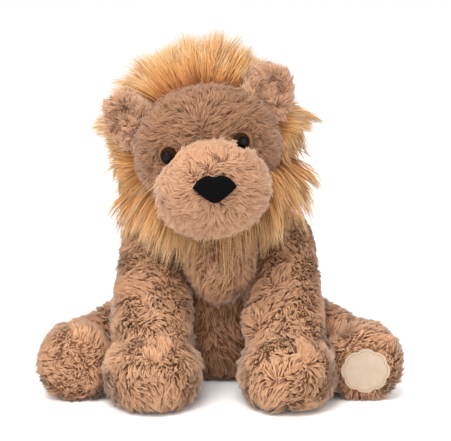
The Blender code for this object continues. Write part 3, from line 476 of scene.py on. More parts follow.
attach(torso_skin, "torso")
curly = dict(steps=2, sides=3, lock=0.0046, pull=0.55, swirl_size=0.012, softness=0.85, rise=(62.0, 30.0))


def torso_tone(spot, out):
    """Darker down the front, in the shade of the arms."""
    return np.where(spot[:, 1] < 0.02, np.interp(spot[:, 2], (0.02, 0.11), (-0.90, -0.22)), 0.0)


torso_pile = grow_pile(
    "torso_pile", torso_skin, TAN_FUR, 12800, 11, 0.0108, 0.00120, **curly,
    comb=lambda spot, out: np.array([[0.0, 0.0, -1.0]]) + 0.3 * out,
    keep=lambda spot, out: np.where(out[:, 2] < -0.85, 0.15, 1.0) * np.where(spot[:, 2] > 0.165, 0.1, 1.0),
    tone_of=torso_tone,
)
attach(torso_pile, "torso")


# Hind legs: each a stuffed thigh that runs out from the hip to a stubby foot, with the sole
# upright and facing forward. Thigh and foot are one skin in curly plush.
hip = Vector((0.052, 0.040, 0.0355))
leg_girths = (
    (-1.0, 1.38, 0.0), (-0.866, 1.38, 0.0), (-0.5, 0.96, 0.0), (0.0, 0.98, 0.0),
    (0.5, 1.15, 0.0), (0.866, 1.58, 0.0), (1.0, 1.58, 0.0),
)
foot_girths = (
    (-1.0, 1.0, 0.0), (0.0, 1.0, 0.0), (0.5, 1.16, 0.0), (0.866, 1.76, 0.0), (1.0, 1.76, 0.0),
)
FOOT_OUT, FOOT_AHEAD, FOOT_HIGH, FOOT_DEEP = 0.0715, 0.088, 0.0325, 0.0310
SOLE_FLAT = 0.0035
for side_name, side in (("left", 1.0), ("right", -1.0)):
    hip_side = Vector((hip.x * side, hip.y, hip.z))
    foot_middle = hip_side + Vector((FOOT_OUT * side, -FOOT_AHEAD, FOOT_HIGH - 0.0017 - hip.z))
    way = hip_side - foot_middle
    thigh_half = (0.0275 - SKIN_IN, 0.0357 - SKIN_IN, (way.length + 0.046) / 2 - SKIN_IN)
    level = way.cross(Vector((0.0, 0.0, 1.0))).normalized()
    upward = way.normalized().cross(level)
    turn = Matrix((level, upward, way.normalized())).transposed().to_4x4()
    thigh_place = Matrix.Translation(hip_side - way.normalized() * (way.length - 0.020) / 2) @ turn
    foot_turn = Vector((0.0, -1.0, 0.0)).to_track_quat("Z", "Y").to_matrix().to_4x4()
    foot_half = (0.0310 - SKIN_IN, FOOT_HIGH - SKIN_IN, FOOT_DEEP - 0.002)
    sole_y = foot_middle.y - FOOT_DEEP + SOLE_FLAT + 0.001

    def flatten_sole(shape, sole_y=sole_y):
        for corner in shape.verts:
            corner.co.y = max(corner.co.y, sole_y)

    skin = stuffed("leg_skin_" + side_name + "_cloth", (
        (thigh_half, thigh_place, leg_girths),
        (foot_half, Matrix.Translation(foot_middle) @ foot_turn, foot_girths),
    ), shape_more=flatten_sole)
    skin.data.materials.append(BODY_BACKING)
    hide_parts("leg_skin_" + side_name, "foot_skin_" + side_name, "foot_sole_" + side_name)
    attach(skin, "leg_" + side_name)

    patch_middle = foot_middle + Vector((0.0, 0.0, -0.003))

    def leg_comb(spot, out, foot_middle=foot_middle, way=way):
        down_leg = np.array([-way.normalized()])
        from_sole = spot - np.array(foot_middle)
        from_sole[:, 1] = 0.0
        return np.where(out[:, 1:2] < -0.8, unit(from_sole), down_leg + 0.25 * out)

    def leg_keep(spot, out, patch=patch_middle, sole_y=sole_y, side=side):
        off = np.hypot(spot[:, 0] - patch.x, spot[:, 2] - patch.z)
        on_sole = (out[:, 1] < -0.8) & (spot[:, 1] < sole_y + 0.002)
        bare = on_sole & (off < 0.0188) & (side > 0)
        hidden = (np.abs(spot[:, 0]) < 0.045) & (spot[:, 1] > 0.0)
        return np.where(bare, 0.0, np.where(hidden, 0.25, np.where(out[:, 2] < -0.9, 0.3, 1.0)))

    def leg_size(spot, out, patch=patch_middle, sole_y=sole_y, side=side):
        on_sole = (out[:, 1] < -0.8) & (spot[:, 1] < sole_y + 0.002)
        off = np.hypot(spot[:, 0] - patch.x, spot[:, 2] - patch.z)
        by_patch = np.interp(off, (0.020, 0.028), (0.30, 0.60)) if side > 0 else 0.60
        by_hip = np.interp(np.abs(spot[:, 0]), (0.085, 0.105, 0.125), (1.5, 1.35, 1.0))
        return np.where(on_sole, by_patch, np.where(out[:, 2] > 0.4, by_hip, 1.0))

    # Painted light: the pile lighter toward the front of the foot, which faces the lamps.
    def leg_painted_light(spot, out):
        return np.interp(spot[:, 1], (-0.04, 0.0), (0.45, 0.05))

    pile = grow_pile(
        "leg_pile_" + side_name, skin, TAN_FUR, 15700, 21 if side > 0 else 22, 0.0100, 0.00118,
        comb=leg_comb, **curly, keep=leg_keep, size_of=leg_size, tone_of=leg_painted_light,
    )
    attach(pile, "leg_" + side_name)


# Arms: each a stuffed sleeve that slopes from the shoulder to a round front paw on the ground,
# drawn in at the wrist. One skin in the same curly plush.
shoulder = Vector((0.056, 0.006, 0.1204))
wrist_step = Vector((0.001, -0.068, -0.070))
arm_girths = (
    (-1.0, 1.62, 0.0), (-0.866, 1.62, 0.0), (-0.5, 1.20, 0.0), (0.0, 0.99, 0.0),
    (0.5, 1.03, 0.0), (0.866, 1.36, 0.0), (1.0, 1.36, 0.0),
)
paw_girths = ((-1.0, 1.40, 0.0), (-0.866, 1.40, 0.0), (-0.5, 1.10, 0.0), (0.0, 1.0, 0.0), (1.0, 1.0, 0.0))
arm_skins = {}
for side_name, side in (("left", 1.0), ("right", -1.0)):
    start = Vector((shoulder.x * side, shoulder.y, shoulder.z))
    wrist = start + Vector((wrist_step.x * side, wrist_step.y, wrist_step.z))
    way = start - wrist
    arm_half = (0.0330 - SKIN_IN, 0.0285 - SKIN_IN, way.length / 2 + 0.030 - SKIN_IN)
    arm_place = Matrix.Translation((start + wrist) / 2) @ way.to_track_quat("Z", "Y").to_matrix().to_4x4()
    paw_middle = Vector((wrist.x, wrist.y - 0.016, 0.0305))
    paw_half = (0.0405 - SKIN_IN, 0.0420 - SKIN_IN, 0.0310 - SKIN_IN / 2)
    skin = stuffed("arm_skin_" + side_name + "_cloth", (
        (arm_half, arm_place, arm_girths),
        (paw_half, Matrix.Translation(paw_middle), paw_girths),
    ), rounds=3)
    skin.data.materials.append(BODY_BACKING)
    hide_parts("arm_skin_" + side_name, "paw_skin_" + side_name)
    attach(skin, "arm_" + side_name)
    arm_skins[side_name] = skin

    def arm_comb(spot, out, way=way):
        down_arm = np.array([-way.normalized()]) + 0.2 * out
        round_paw = np.array([[0.0, -0.7, -0.6]]) + 0.2 * out
        return np.where((spot[:, 2] < 0.05)[:, None], round_paw, down_arm)

    pile = grow_pile(
        "arm_pile_" + side_name, skin, TAN_FUR, 17700, 31 if side > 0 else 32, 0.0100, 0.00118,
        comb=arm_comb, **curly,
        keep=lambda spot, out: np.where(out[:, 2] < -0.9, 0.2, 1.0),
        size_of=lambda spot, out, side=side: 1.0 + np.where(spot[:, 2] > 0.055, out[:, 0] * -0.35, 0.0),
        # Painted light and shade: the paws lighter, and the arm darker higher up, under the mane.
        tone_of=lambda spot, out: np.interp(spot[:, 2], (0.045, 0.090), (0.80, -0.30)),
    )
    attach(pile, "arm_" + side_name)


# Neck: a short stuffed ring between the torso and the head, hidden by the mane. It turns on
# the torso, and the head leans on it.
def cap_neck(shape):
    for corner in shape.verts:
        corner.co.z = max(corner.co.z, neck_pivot.z + 0.009)


NECK_RADIUS = 0.0455
neck_skin = stuffed("neck_cloth", (
    ((NECK_RADIUS,) * 3, Matrix.Translation(neck_pivot), ROUND),
), shape_more=cap_neck)
neck_skin.data.materials.append(BODY_BACKING)
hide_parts("neck_skin")
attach(neck_skin, "neck")


# Head: a stuffed ball of short plush, leaned to one side, its skin raised a little round each
# eye. Its pile runs back from the bridge of the muzzle.
HEAD_LEAN = math.radians(-11.3)
head_frame = Matrix.Translation(neck_pivot) @ Matrix.Rotation(HEAD_LEAN, 4, "Y")
to_head = np.array(head_frame.inverted())


def in_head(spots):
    """Places in the head's own upright frame."""
    return spots @ to_head[:3, :3].T + to_head[:3, 3]


def from_head(rows):
    """Directions of the head's own frame, in the room."""
    return rows @ np.array(head_frame.to_3x3()).T


HEAD_HALF = (0.062, 0.057, 0.054)
HEAD_MIDDLE = Vector((0.0, -0.021, 0.058))
MUZZLE_HALF = (0.0465, 0.038, 0.0408)
MUZZLE_MIDDLE = Vector((0.0, -0.082, 0.0318))
head_girths = ((-1.0, 1.0, 0.0), (-0.5, 1.03, -0.02), (0.0, 1.0, 0.0), (0.5, 0.99, 0.0), (1.0, 1.0, 0.0))
EYE_OUT, EYE_UP = 0.0310, 0.0058
eye_depth = HEAD_HALF[1] * math.sqrt(1.0 - (EYE_OUT / HEAD_HALF[0]) ** 2 - (EYE_UP / HEAD_HALF[2]) ** 2)
eye_spots = {
    side: Vector((EYE_OUT * side, HEAD_MIDDLE.y - eye_depth, HEAD_MIDDLE.z + EYE_UP)) for side in (1.0, -1.0)
}


def raise_at_eyes(shape):
    """The skin raised a little round each eye, over the washer behind it."""
    spots = [head_frame @ spot for spot in eye_spots.values()]
    for corner in shape.verts:
        for spot in spots:
            near = (corner.co - spot).length / 0.013
            corner.co += Vector((0.0, -0.0014, 0.0)) * math.exp(-near * near)


def less(half, by=SKIN_IN):
    return tuple(size - by for size in half)


head_skin = stuffed("head_cloth", (
    (less(HEAD_HALF), head_frame @ Matrix.Translation(HEAD_MIDDLE), head_girths),
), shape_more=raise_at_eyes)
head_skin.data.materials.append(BODY_BACKING)
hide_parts("head_side_left", "head_side_right", "head_gusset", "head_back")
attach(head_skin, "head")
FACE_FUR = fur_finish(
    "face_pile",
    ((0.0, (0.100, 0.034, 0.013)), (0.45, (0.222, 0.088, 0.034)), (1.0, (0.345, 0.157, 0.069))),
    ((0.0, (0.155, 0.058, 0.022)), (0.45, (0.318, 0.138, 0.057)), (1.0, (0.480, 0.250, 0.124))),
)
muzzle_top = np.array((0.0, -0.075, 0.075))


def clear_of_eyes(spots, reach, depth=0.02):
    """No pile within reach of an eye, down to depth in front of its middle."""
    own = in_head(spots)
    found = np.full(len(spots), 1.0)
    for spot in eye_spots.values():
        off = np.hypot(own[:, 0] - spot.x, own[:, 2] - spot.z)
        found = np.where((off < reach) & (own[:, 1] < -0.03) & (own[:, 1] > spot.y - depth), 0.0, found)
    return found


def head_comb(spot, out):
    own = in_head(spot)
    back = own - muzzle_top
    back[:, 1] = np.abs(back[:, 1]) * 0.8
    return from_head(unit(back))


def head_size(spot, out):
    """Longest beside the ears, short at the very top and round the eyes."""
    own = in_head(spot)
    found = np.interp(own[:, 2] - HEAD_MIDDLE.z, (0.034, 0.050), (1.0, 0.8))
    found = found * np.interp(np.abs(own[:, 0]), (0.030, 0.050), (1.0, 1.2))
    for spot in eye_spots.values():
        off = np.hypot(own[:, 0] - spot.x, own[:, 2] - spot.z)
        found = found * np.interp(off, (0.009, 0.016), (0.5, 1.0))
    return found


def head_painted_shade(spot, out):
    """Painted shade: darker over the crown, where the pile stands against the mane, and in the brow's fold.
    """
    own = in_head(spot)
    top = np.interp(own[:, 2], (0.090, 0.108), (0.0, -0.25))
    brow = -0.25 * np.exp(-(((own[:, 2] - 0.078) / 0.006) ** 2)) * (np.abs(own[:, 0]) < 0.030)
    return top + brow


head_pile = grow_pile(
    "head_pile", head_skin, FACE_FUR, 17000, 41, 0.0100, 0.00088, steps=2, sides=3, softness=0.6,
    comb=head_comb, swirl=0.95, swirl_size=0.009, lock=0.0032, pull=0.6, rise=(60.0, 24.0), wild=0.18,
    size_of=head_size, tone_of=head_painted_shade,
    keep=lambda spot, out: clear_of_eyes(spot, 0.0086) * np.where(in_head(spot)[:, 1] > 0.012, 0.15, 1.0),
)
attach(head_pile, "head")


# Muzzle: a large round ball of lighter plush, sewn over the lower face. Its dense pile runs
# out from the nose, and parts along the line under it.
muzzle_girths = (
    (-1.0, 1.02, 0.0), (-0.5, 1.05, 0.0), (0.0, 1.02, 0.0),
    (0.5, 1.02, 0.0), (0.866, 1.10, 0.0), (1.0, 1.10, 0.0),
)
NOSE_UP = 0.0072


def part_lip(shape):
    """The skin drawn in along the line under the nose."""
    back_to_head = head_frame.inverted()
    inward = head_frame.to_3x3() @ Vector((0.0, 0.0011, 0.0))
    for corner in shape.verts:
        own = back_to_head @ corner.co - MUZZLE_MIDDLE
        if own.y < -0.015 and own.z < 0.002:
            corner.co += inward * math.exp(-((own.x / 0.0045) ** 2) - ((own.z + 0.012) / 0.010) ** 2)


muzzle_skin = stuffed("muzzle_cloth", (
    (less(MUZZLE_HALF), head_frame @ Matrix.Translation(MUZZLE_MIDDLE), muzzle_girths),
), voxel=0.0025, shape_more=part_lip)
muzzle_skin.data.materials.append(BODY_BACKING)
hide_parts("muzzle_upper", "muzzle_chin")
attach(muzzle_skin, "head")
MUZZLE_FUR = fur_finish(
    "muzzle_pile",
    ((0.0, (0.153, 0.056, 0.023)), (0.45, (0.378, 0.171, 0.079)), (1.0, (0.558, 0.297, 0.158))),
    ((0.0, (0.225, 0.090, 0.040)), (0.45, (0.531, 0.266, 0.131)), (1.0, (0.720, 0.436, 0.266))),
)
nose_spot = np.array((0.0035, MUZZLE_MIDDLE.y - MUZZLE_HALF[1], MUZZLE_MIDDLE.z + NOSE_UP))


def muzzle_comb(spot, out):
    own = in_head(spot) - nose_spot
    own[:, 1] = np.abs(own[:, 1]) * 0.6
    fold = (own[:, 2] > 0.008) & (own[:, 2] < 0.016) & (np.abs(own[:, 0]) < 0.012)
    own[:, 2] = np.where(fold, -0.012, own[:, 2])
    return from_head(unit(own))


def muzzle_keep(spot, out):
    own = in_head(spot)
    middle = own - np.array(MUZZLE_MIDDLE)
    behind = middle[:, 1] > 0.018
    nose_off = np.hypot((own[:, 0] - nose_spot[0]) / 0.0155, (own[:, 2] - nose_spot[2]) / 0.0105)
    on_nose = (nose_off < 0.74) & (middle[:, 1] < 0)
    return np.where(on_nose, 0.0, np.where(behind, 0.05, 1.0)) * clear_of_eyes(spot, 0.0085, 0.0075)


def muzzle_size(spot, out):
    """Shorter beside the eyes and at the nose."""
    own = in_head(spot)
    nose_off = np.hypot(own[:, 0] - nose_spot[0], own[:, 2] - nose_spot[2])
    found = np.interp(nose_off, (0.010, 0.022), (0.85, 1.0))
    top = np.interp(own[:, 2] - MUZZLE_MIDDLE.z, (0.024, 0.038), (0.0, 0.3))
    found = found - top * np.exp(-((own[:, 0] / 0.022) ** 2))
    for side, eye_spot in eye_spots.items():
        off = np.hypot(own[:, 0] - eye_spot.x, own[:, 2] - eye_spot.z)
        found = found * np.interp(off, (0.0065, 0.008, 0.020), (0.26, 0.75 if side > 0 else 0.45, 1.0))
    return found


def muzzle_painted_shade(spot, out):
    """Painted shade: darker in the part right under the nose, and darker towards the bottom of the muzzle."""
    own = in_head(spot) - nose_spot
    tuft = -0.5 * np.exp(-((own[:, 0] / 0.005) ** 2) - ((own[:, 2] + 0.017) / 0.006) ** 2)
    return tuft + np.interp(own[:, 2], (-0.035, 0.0), (-0.14, 0.0))


muzzle_pile = grow_pile(
    "muzzle_pile", muzzle_skin, MUZZLE_FUR, 17000, 51, 0.0095, 0.00082, steps=2, sides=3, softness=0.6,
    comb=muzzle_comb, keep=muzzle_keep, swirl=0.85, swirl_size=0.008, lock=0.0030, pull=0.55, curl=0.4,
    rise=(62.0, 26.0), size_of=muzzle_size, tone_of=muzzle_painted_shade, stray=0.26, wild=0.12,
)
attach(muzzle_pile, "head")


# Nose: a small padded triangle of black velvet with round corners, wider on top, sewn on the
# front of the muzzle.
NOSE_HALF = (0.0156, 0.0085, 0.0118)
NOSE_SINK = 0.0072
nose_shape = bmesh.new()
bmesh.ops.create_uvsphere(nose_shape, u_segments=48, v_segments=32, radius=1.0)
for corner in nose_shape.verts:
    x, y, z = corner.co
    girth = 0.66 + 0.42 * (z + 1.0) / 2.0 - 0.16 * max(0.0, -z) ** 2
    square = 1.0 + 0.30 * (1.0 - abs(z - 0.10)) ** 2
    dip = 0.20 * math.exp(-((x / 0.24) ** 2)) * max(0.0, z) ** 2
    corner.co = (x * girth * square * NOSE_HALF[0], y * NOSE_HALF[1], (z - dip - 0.02) * NOSE_HALF[2])
nose_place = Matrix.Translation((nose_spot[0], nose_spot[1] - NOSE_HALF[1] + NOSE_SINK, nose_spot[2]))
nose_place = head_frame @ nose_place @ Matrix.Rotation(math.radians(9.0), 4, "Y")
bmesh.ops.transform(nose_shape, matrix=nose_place, verts=nose_shape.verts)
nose = solid_from("velvet_nose", nose_shape)
nose.data.shade_smooth()
velvet, velvet_shader, start = finish_of("black_velvet", 1.0, Specular_IOR_Level=0.06)
place = start.place()
nap = start.noise(place, 1400.0, 2.0)
cloud = start.noise(place, 90.0)
black = (nap * 0.5 + cloud * 0.5).mix((0.0006, 0.0006, 0.0007), (0.004, 0.0035, 0.004))
paint(velvet_shader, start, black, nap, 0.5, 0.0004)
nose.data.materials.append(velvet)
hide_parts("nose")
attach(nose, "head")


# Eyes: glossy plastic domes, nearly black, with a thin brown rim. Each has a shank that goes
# through the face and is held behind it by a pressed washer.
EYE_RADIUS, EYE_DOME, EYE_RIM = 0.0076, 0.0048, 0.0012
SHANK_RADIUS, SHANK_LENGTH = 0.0021, 0.0125
eye_seat = 0.0008 - 0.0025
for side_name, side in (("left", 1.0), ("right", -1.0)):
    toe = math.radians(22.0)
    way = Vector((math.sin(toe) * side, -math.cos(toe), 0.0))
    seat = head_frame @ Matrix.Translation(eye_spots[side] + way * eye_seat)
    seat = seat @ way.to_track_quat("Z", "Y").to_matrix().to_4x4()
    eye_shape = bmesh.new()
    dome = [
        (EYE_RADIUS * math.sin(a), 0.0, EYE_RIM + EYE_DOME * math.cos(a))
        for a in (math.radians(90.0 * i / 12) for i in range(13))
    ]
    shank = [(SHANK_RADIUS, 0.0, 0.0), (SHANK_RADIUS, 0.0, -SHANK_LENGTH), (0.0, 0.0, -SHANK_LENGTH)]
    profile = [*dome, (EYE_RADIUS, 0.0, 0.0), *shank]
    line = [eye_shape.verts.new(spot) for spot in profile]
    edges = [eye_shape.edges.new(pair) for pair in zip(line, line[1:])]
    bmesh.ops.spin(
        eye_shape, geom=line + edges, cent=(0, 0, 0), axis=(0, 0, 1), dvec=(0, 0, 0),
        angle=math.tau, steps=48, use_merge=True, use_duplicate=False,
    )
    bmesh.ops.remove_doubles(eye_shape, verts=eye_shape.verts, dist=0.00001)
    bmesh.ops.recalc_face_normals(eye_shape, faces=eye_shape.faces)
    bmesh.ops.transform(eye_shape, matrix=seat, verts=eye_shape.verts)
    eye = solid_from("glass_eye_" + side_name, eye_shape)
    eye.data.shade_smooth()
    eye.data.set_sharp_from_angle(angle=math.radians(50.0))
    gloss, gloss_shader, start = finish_of(
        "eye_gloss_" + side_name, 0.10, Specular_IOR_Level=0.0, Coat_Roughness=0.12
    )
    place = start.place()
    centre = seat.to_translation()
    off = place.node("ShaderNodeVectorMath", {"operation": "DISTANCE"}, {0: place, 1: tuple(centre)}, 1)
    ring = off.between(EYE_RADIUS * 0.86, EYE_RADIUS * 0.97)
    grain = start.noise(place, 700.0)
    rim = ring * (0.7 + grain * 0.6)
    paint(gloss_shader, start, rim.mix((0.003, 0.0025, 0.002), (0.030, 0.012, 0.005)))
    front = off.between(EYE_RADIUS * 0.96, EYE_RADIUS * 0.76)
    start.tree.links.new((front * 0.3).socket, gloss_shader.inputs["Coat Weight"])
    eye.data.materials.append(gloss)
    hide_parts("eye_" + side_name)
    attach(eye, "head")


# Ears: two round flaps of plush sewn to the sides of the crown, cupped to the front. The back
# is curly; the cup holds short curls inside a longer and paler rim, with painted shade darkening the cup
# toward its middle.
EAR_HALF = (0.0225, 0.0085, 0.0260)
EAR_SPOT = (0.060, -0.021 + 0.004, 0.058 + 0.034)
CUP_HALF = (0.0150, 0.0175)
CUP_DEEP = 0.0075
EAR_FUR = fur_finish(
    "ear_pile",
    ((0.0, (0.054, 0.018, 0.007)), (0.45, (0.153, 0.059, 0.024)), (1.0, (0.324, 0.144, 0.068))),
    ((0.0, (0.180, 0.070, 0.031)), (0.45, (0.486, 0.239, 0.122)), (1.0, (0.720, 0.441, 0.279))),
)
for side_name, side in (("left", 1.0), ("right", -1.0)):
    ear_middle = Vector((EAR_SPOT[0] * side, EAR_SPOT[1], EAR_SPOT[2]))
    lean = Matrix.Rotation(math.radians(28.0) * side, 4, "Y")
    toe = Matrix.Rotation(math.radians(14.0) * side, 4, "Z")
    ear_frame = head_frame @ Matrix.Translation(ear_middle) @ toe @ lean
    to_ear = ear_frame.inverted()

    def cup_ear(shape, to_ear=to_ear, ear_frame=ear_frame):
        inward = ear_frame.to_3x3() @ Vector((0.0, 1.0, 0.0))
        for corner in shape.verts:
            own = to_ear @ corner.co
            off = math.hypot(own.x / CUP_HALF[0], (own.z - 0.001) / CUP_HALF[1])
            if own.y < 0.002:
                corner.co += inward * CUP_DEEP * max(0.0, 1.0 - off * off)

    skin = stuffed("ear_cloth_" + side_name, (
        (less(EAR_HALF, 0.003), ear_frame, ROUND),
    ), voxel=0.0018, rounds=2, shape_more=cup_ear)
    skin.data.materials.append(BODY_BACKING)
    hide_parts("ear_front_" + side_name, "ear_back_" + side_name)
    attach(skin, "head")
    own_to = np.array(to_ear)

    def in_ear(spots, own_to=own_to):
        return spots @ own_to[:3, :3].T + own_to[:3, 3]

    def ear_comb(spot, out, ear_frame=ear_frame, in_ear=in_ear):
        own = in_ear(spot)
        own[:, 2] += 0.014
        own[:, 1] = 0.0
        return unit(own) @ np.array(ear_frame.to_3x3()).T

    # Painted shade: the cup's pile darker toward its middle, paler toward its rim.
    def ear_painted_shade(spot, out, in_ear=in_ear):
        own = in_ear(spot)
        off = np.hypot(own[:, 0] / CUP_HALF[0], own[:, 2] / CUP_HALF[1])
        return np.where(own[:, 1] < 0.0, np.interp(off, (0.50, 1.02), (-0.85, 0.55)), 0.25)

    def ear_size(spot, out, in_ear=in_ear):
        own = in_ear(spot)
        off = np.hypot(own[:, 0] / CUP_HALF[0], own[:, 2] / CUP_HALF[1])
        return np.where(own[:, 1] < 0.0, np.interp(off, (0.4, 1.0, 1.3), (0.45, 0.90, 0.78)), 0.75)

    pile = grow_pile(
        "ear_pile_" + side_name, skin, EAR_FUR, 8000, 61 if side > 0 else 62, 0.0115, 0.00080,
        comb=ear_comb, steps=2, sides=3, swirl=1.1, swirl_size=0.008, lock=0.0030, pull=0.6, curl=0.6,
        tone_of=ear_painted_shade, size_of=ear_size, wild=0.15,
    )
    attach(pile, "head")


# Mane: long silky pile round the head, deep orange at the root and straw at the tip. It stands
# out at the crown and the cheeks and hangs over the shoulders and the chest.
MANE_MIDDLE = Vector((0.0, 0.015, 0.053))
MANE_FUR = fur_finish(
    "mane_pile",
    (
        (0.0, (0.080, 0.020, 0.003)), (0.25, (0.235, 0.066, 0.008)),
        (0.60, (0.470, 0.195, 0.047)), (1.0, (0.660, 0.400, 0.190)),
    ),
    (
        (0.0, (0.170, 0.046, 0.006)), (0.25, (0.450, 0.148, 0.022)),
        (0.60, (0.690, 0.345, 0.104)), (1.0, (0.860, 0.640, 0.390)),
    ),
    sheen=0.1,
)


def lift_mane(shape):
    """The mane's cloth kept off the shoulders."""
    back_to_head = head_frame.inverted()
    for corner in shape.verts:
        own = back_to_head @ corner.co
        lowest = 0.004 + abs(own.x) * math.tan(math.radians(18.0 if own.x < 0.0 else 7.4))
        if own.z < lowest:
            own.z = lowest
            corner.co = head_frame @ own


mane_skin = stuffed("mane_cloth", (
    ((0.068, 0.036, 0.064), head_frame @ Matrix.Translation(MANE_MIDDLE), ROUND),
), voxel=0.0035, shape_more=lift_mane)
mane_skin.data.materials.append(backing("mane_backing", (0.16, 0.06, 0.02), (0.30, 0.12, 0.04)))
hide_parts("mane_front", "mane_back")
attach(mane_skin, "head")
head_tree = shut(head_skin)


def mane_comb(spot, out):
    """Out from the head, and more and more downward below the ears."""
    own = in_head(spot) - np.array(MANE_MIDDLE)
    way = own.copy()
    way[:, 1] = way[:, 1] * 0.6 + 0.012
    level = own[:, 2] - np.interp(own[:, 0], (0.01, 0.05), (0.0, 0.028))
    fall = np.interp(level, (-0.034, 0.010), (1.0, 0.0))[:, None]
    return from_head(unit(way)) * (1.0 - 0.80 * fall) + np.array([[0.0, -0.15, -1.0]]) * fall


def mane_size(spot, out):
    """Long over the right of the crown, and short on the right cheek and low on the left one."""
    own = in_head(spot) - np.array(MANE_MIDDLE)
    left = np.interp(own[:, 0], (0.02, 0.06), (0.0, 0.25))
    left = left * np.interp(own[:, 2], (-0.02, -0.005, 0.008, 0.014, 0.030), (-2.1, -1.9, -0.4, 0.5, -1.1))
    crown = np.interp(own[:, 2], (0.03, 0.06), (0.0, 1.0))
    crown = crown * np.interp(own[:, 0], (-0.03, -0.01, 0.03), (0.12, 0.05, -0.12))
    right = np.interp(own[:, 0], (-0.06, -0.03), (-0.20, 0.0))
    right = right * np.interp(own[:, 2], (-0.01, 0.02, 0.045), (0.0, 1.0, 0.0))
    low = np.interp(own[:, 2], (-0.03, -0.01), (-0.06, 0.0))
    return 1.0 + left + crown + right + low


def mane_front_keep(spot, out):
    own = in_head(spot)
    inside = depth_in(head_tree, spot) < 0.0
    return np.where(inside, 0.0, np.where(own[:, 1] < 0.022, 1.0, 0.0))


def mane_back_keep(spot, out):
    own = in_head(spot)
    return np.where(own[:, 1] >= 0.020, 1.0, 0.0)


mane_ways = dict(
    steps=3, sides=3, lock=0.0030, pull=0.24, swirl=0.16, swirl_size=0.016, curl=0.04, softness=0.4,
    wild=0.12,
)
for name, seed, crown in (("mane_crown_pile", 71, 1.0), ("mane_cheek_pile", 72, -1.0)):
    def half_keep(spot, out, crown=crown):
        own = in_head(spot) - np.array(MANE_MIDDLE)
        return mane_front_keep(spot, out) * (own[:, 2] * crown > (0.012 if crown > 0 else -0.012))

    pile = grow_pile(
        name, mane_skin, MANE_FUR, 12800, seed, 0.036, 0.00085,
        comb=mane_comb, keep=half_keep, rise=(54.0, 26.0) if crown > 0 else (50.0, 8.0),
        droop=0.0 if crown > 0 else 0.25, stray=0.20, size_of=mane_size,
        **(dict(mane_ways, lock=0.0046, pull=0.50, wild=0.28) if crown > 0 else mane_ways),
    )
    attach(pile, "head")
mane_back = grow_pile(
    "mane_back_pile", mane_skin, MANE_FUR, 7500, 73, 0.033, 0.00120,
    comb=lambda spot, out: mane_comb(spot, out) * 0.4 - np.array([[0.0, 0.0, 1.0]]),
    keep=mane_back_keep, rise=(42.0, 12.0), droop=0.25, stray=0.14, **mane_ways,
)
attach(mane_back, "head")


# Chest: a small pad of tan curls sewn to the torso under the throat, and over it the mane's long
# pile, sewn along the head's lower edge, which hangs over both shoulders to a ragged edge.
throat = stuffed("throat_cloth", (
    ((0.0255, 0.027, 0.031), Matrix.Translation((0.0, -0.030, neck_pivot.z - 0.039)), ROUND),
), voxel=0.0025)
throat.data.materials.append(mane_skin.data.materials[0])
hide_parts("mane_chest")
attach(throat, "torso")
fringe_ring = bmesh.new()
bmesh.ops.create_uvsphere(fringe_ring, u_segments=48, v_segments=24, radius=1.0)
for corner in fringe_ring.verts:
    corner.co = (corner.co.x * 0.062 - 0.002, corner.co.y * 0.046 - 0.004, corner.co.z * 0.022)
bmesh.ops.transform(
    fringe_ring, matrix=head_frame @ Matrix.Translation((0.0, 0.0, 0.022)), verts=fringe_ring.verts
)
fringe_skin = solid_from("fringe_cloth", fringe_ring)
fringe_skin.data.shade_smooth()
fringe_skin.data.materials.append(mane_skin.data.materials[0])
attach(fringe_skin, "head")
body_trees = [(shut(made), 0.008) for made in (torso_skin, throat, *arm_skins.values())]
throat_pile = grow_pile(
    "throat_pile", throat, TAN_FUR, 3500, 82, 0.0125, 0.00100, **curly,
    # Painted shade: the throat pad's pile darker, under the head.
    comb=lambda spot, out: np.array([[0.0, -0.1, -1.0]]) + 0.2 * out, tone_of=lambda spot, out: -0.25,
    keep=lambda spot, out: np.where(spot[:, 1] < -0.020, 1.0, 0.1),
)
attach(throat_pile, "torso")


def fringe_comb(spot, out):
    own = in_head(spot)
    way = own.copy()
    way[:, 2] = 0.0
    return unit(way) * 0.08 + np.array([[0.0, -0.12, -1.0]])


def fringe_keep(spot, out):
    own = in_head(spot)
    middle = np.interp(np.abs(spot[:, 0] - 0.004), (0.020, 0.045), (0.5, 1.0))
    return np.where((own[:, 2] < 0.034) & (own[:, 1] < 0.010), middle, 0.05)


def fringe_size(spot, out):
    """Longest down the middle of the chest, and shortest over the right shoulder."""
    return np.interp(spot[:, 0], (-0.055, -0.010, 0.020, 0.045, 0.060), (0.76, 1.26, 1.26, 0.90, 0.90))


fringe = grow_pile(
    "fringe_pile", fringe_skin, MANE_FUR, 8000, 81, 0.056, 0.00078, size_of=fringe_size,
    comb=fringe_comb, keep=fringe_keep,
    steps=3, sides=3, rise=(26.0, 2.0), lock=0.0064, pull=0.78, swirl=0.20, swirl_size=0.014, curl=0.04,
    # Painted shade: the whole fringe darker, in the shade of the chin.
    droop=0.60, softness=0.5, stray=0.10, wild=0.35, avoid=body_trees, tone_of=lambda spot, out: -0.22,
)
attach(fringe, "head")


# Sole patch: a lobed disc of cream leatherette on the left sole, bare, with a raised rim and a
# ring of short stitches inside it.
foot_middle = Vector((hip.x + FOOT_OUT, hip.y - FOOT_AHEAD, FOOT_HIGH - 0.0017))
patch_centre = Vector((foot_middle.x, -0.0758, foot_middle.z - 0.003))
PATCH_HALF = (0.0200, 0.0185)
PATCH_STEPS = 160
STITCHES = 56
STITCH_SHARE = 0.885
STITCH_HALF = (0.00072, 0.00026, 0.00026, 1.0)


def patch_edge(angle, share=1.0, rise=0.0):
    """A point of the lobed outline, or of a line inside it."""
    reach = (1.045 - 0.09 * (1.0 - abs(math.cos(4.0 * angle))) ** 1.6) * share
    return Vector((PATCH_HALF[0] * reach * math.cos(angle), PATCH_HALF[1] * reach * math.sin(angle), rise))


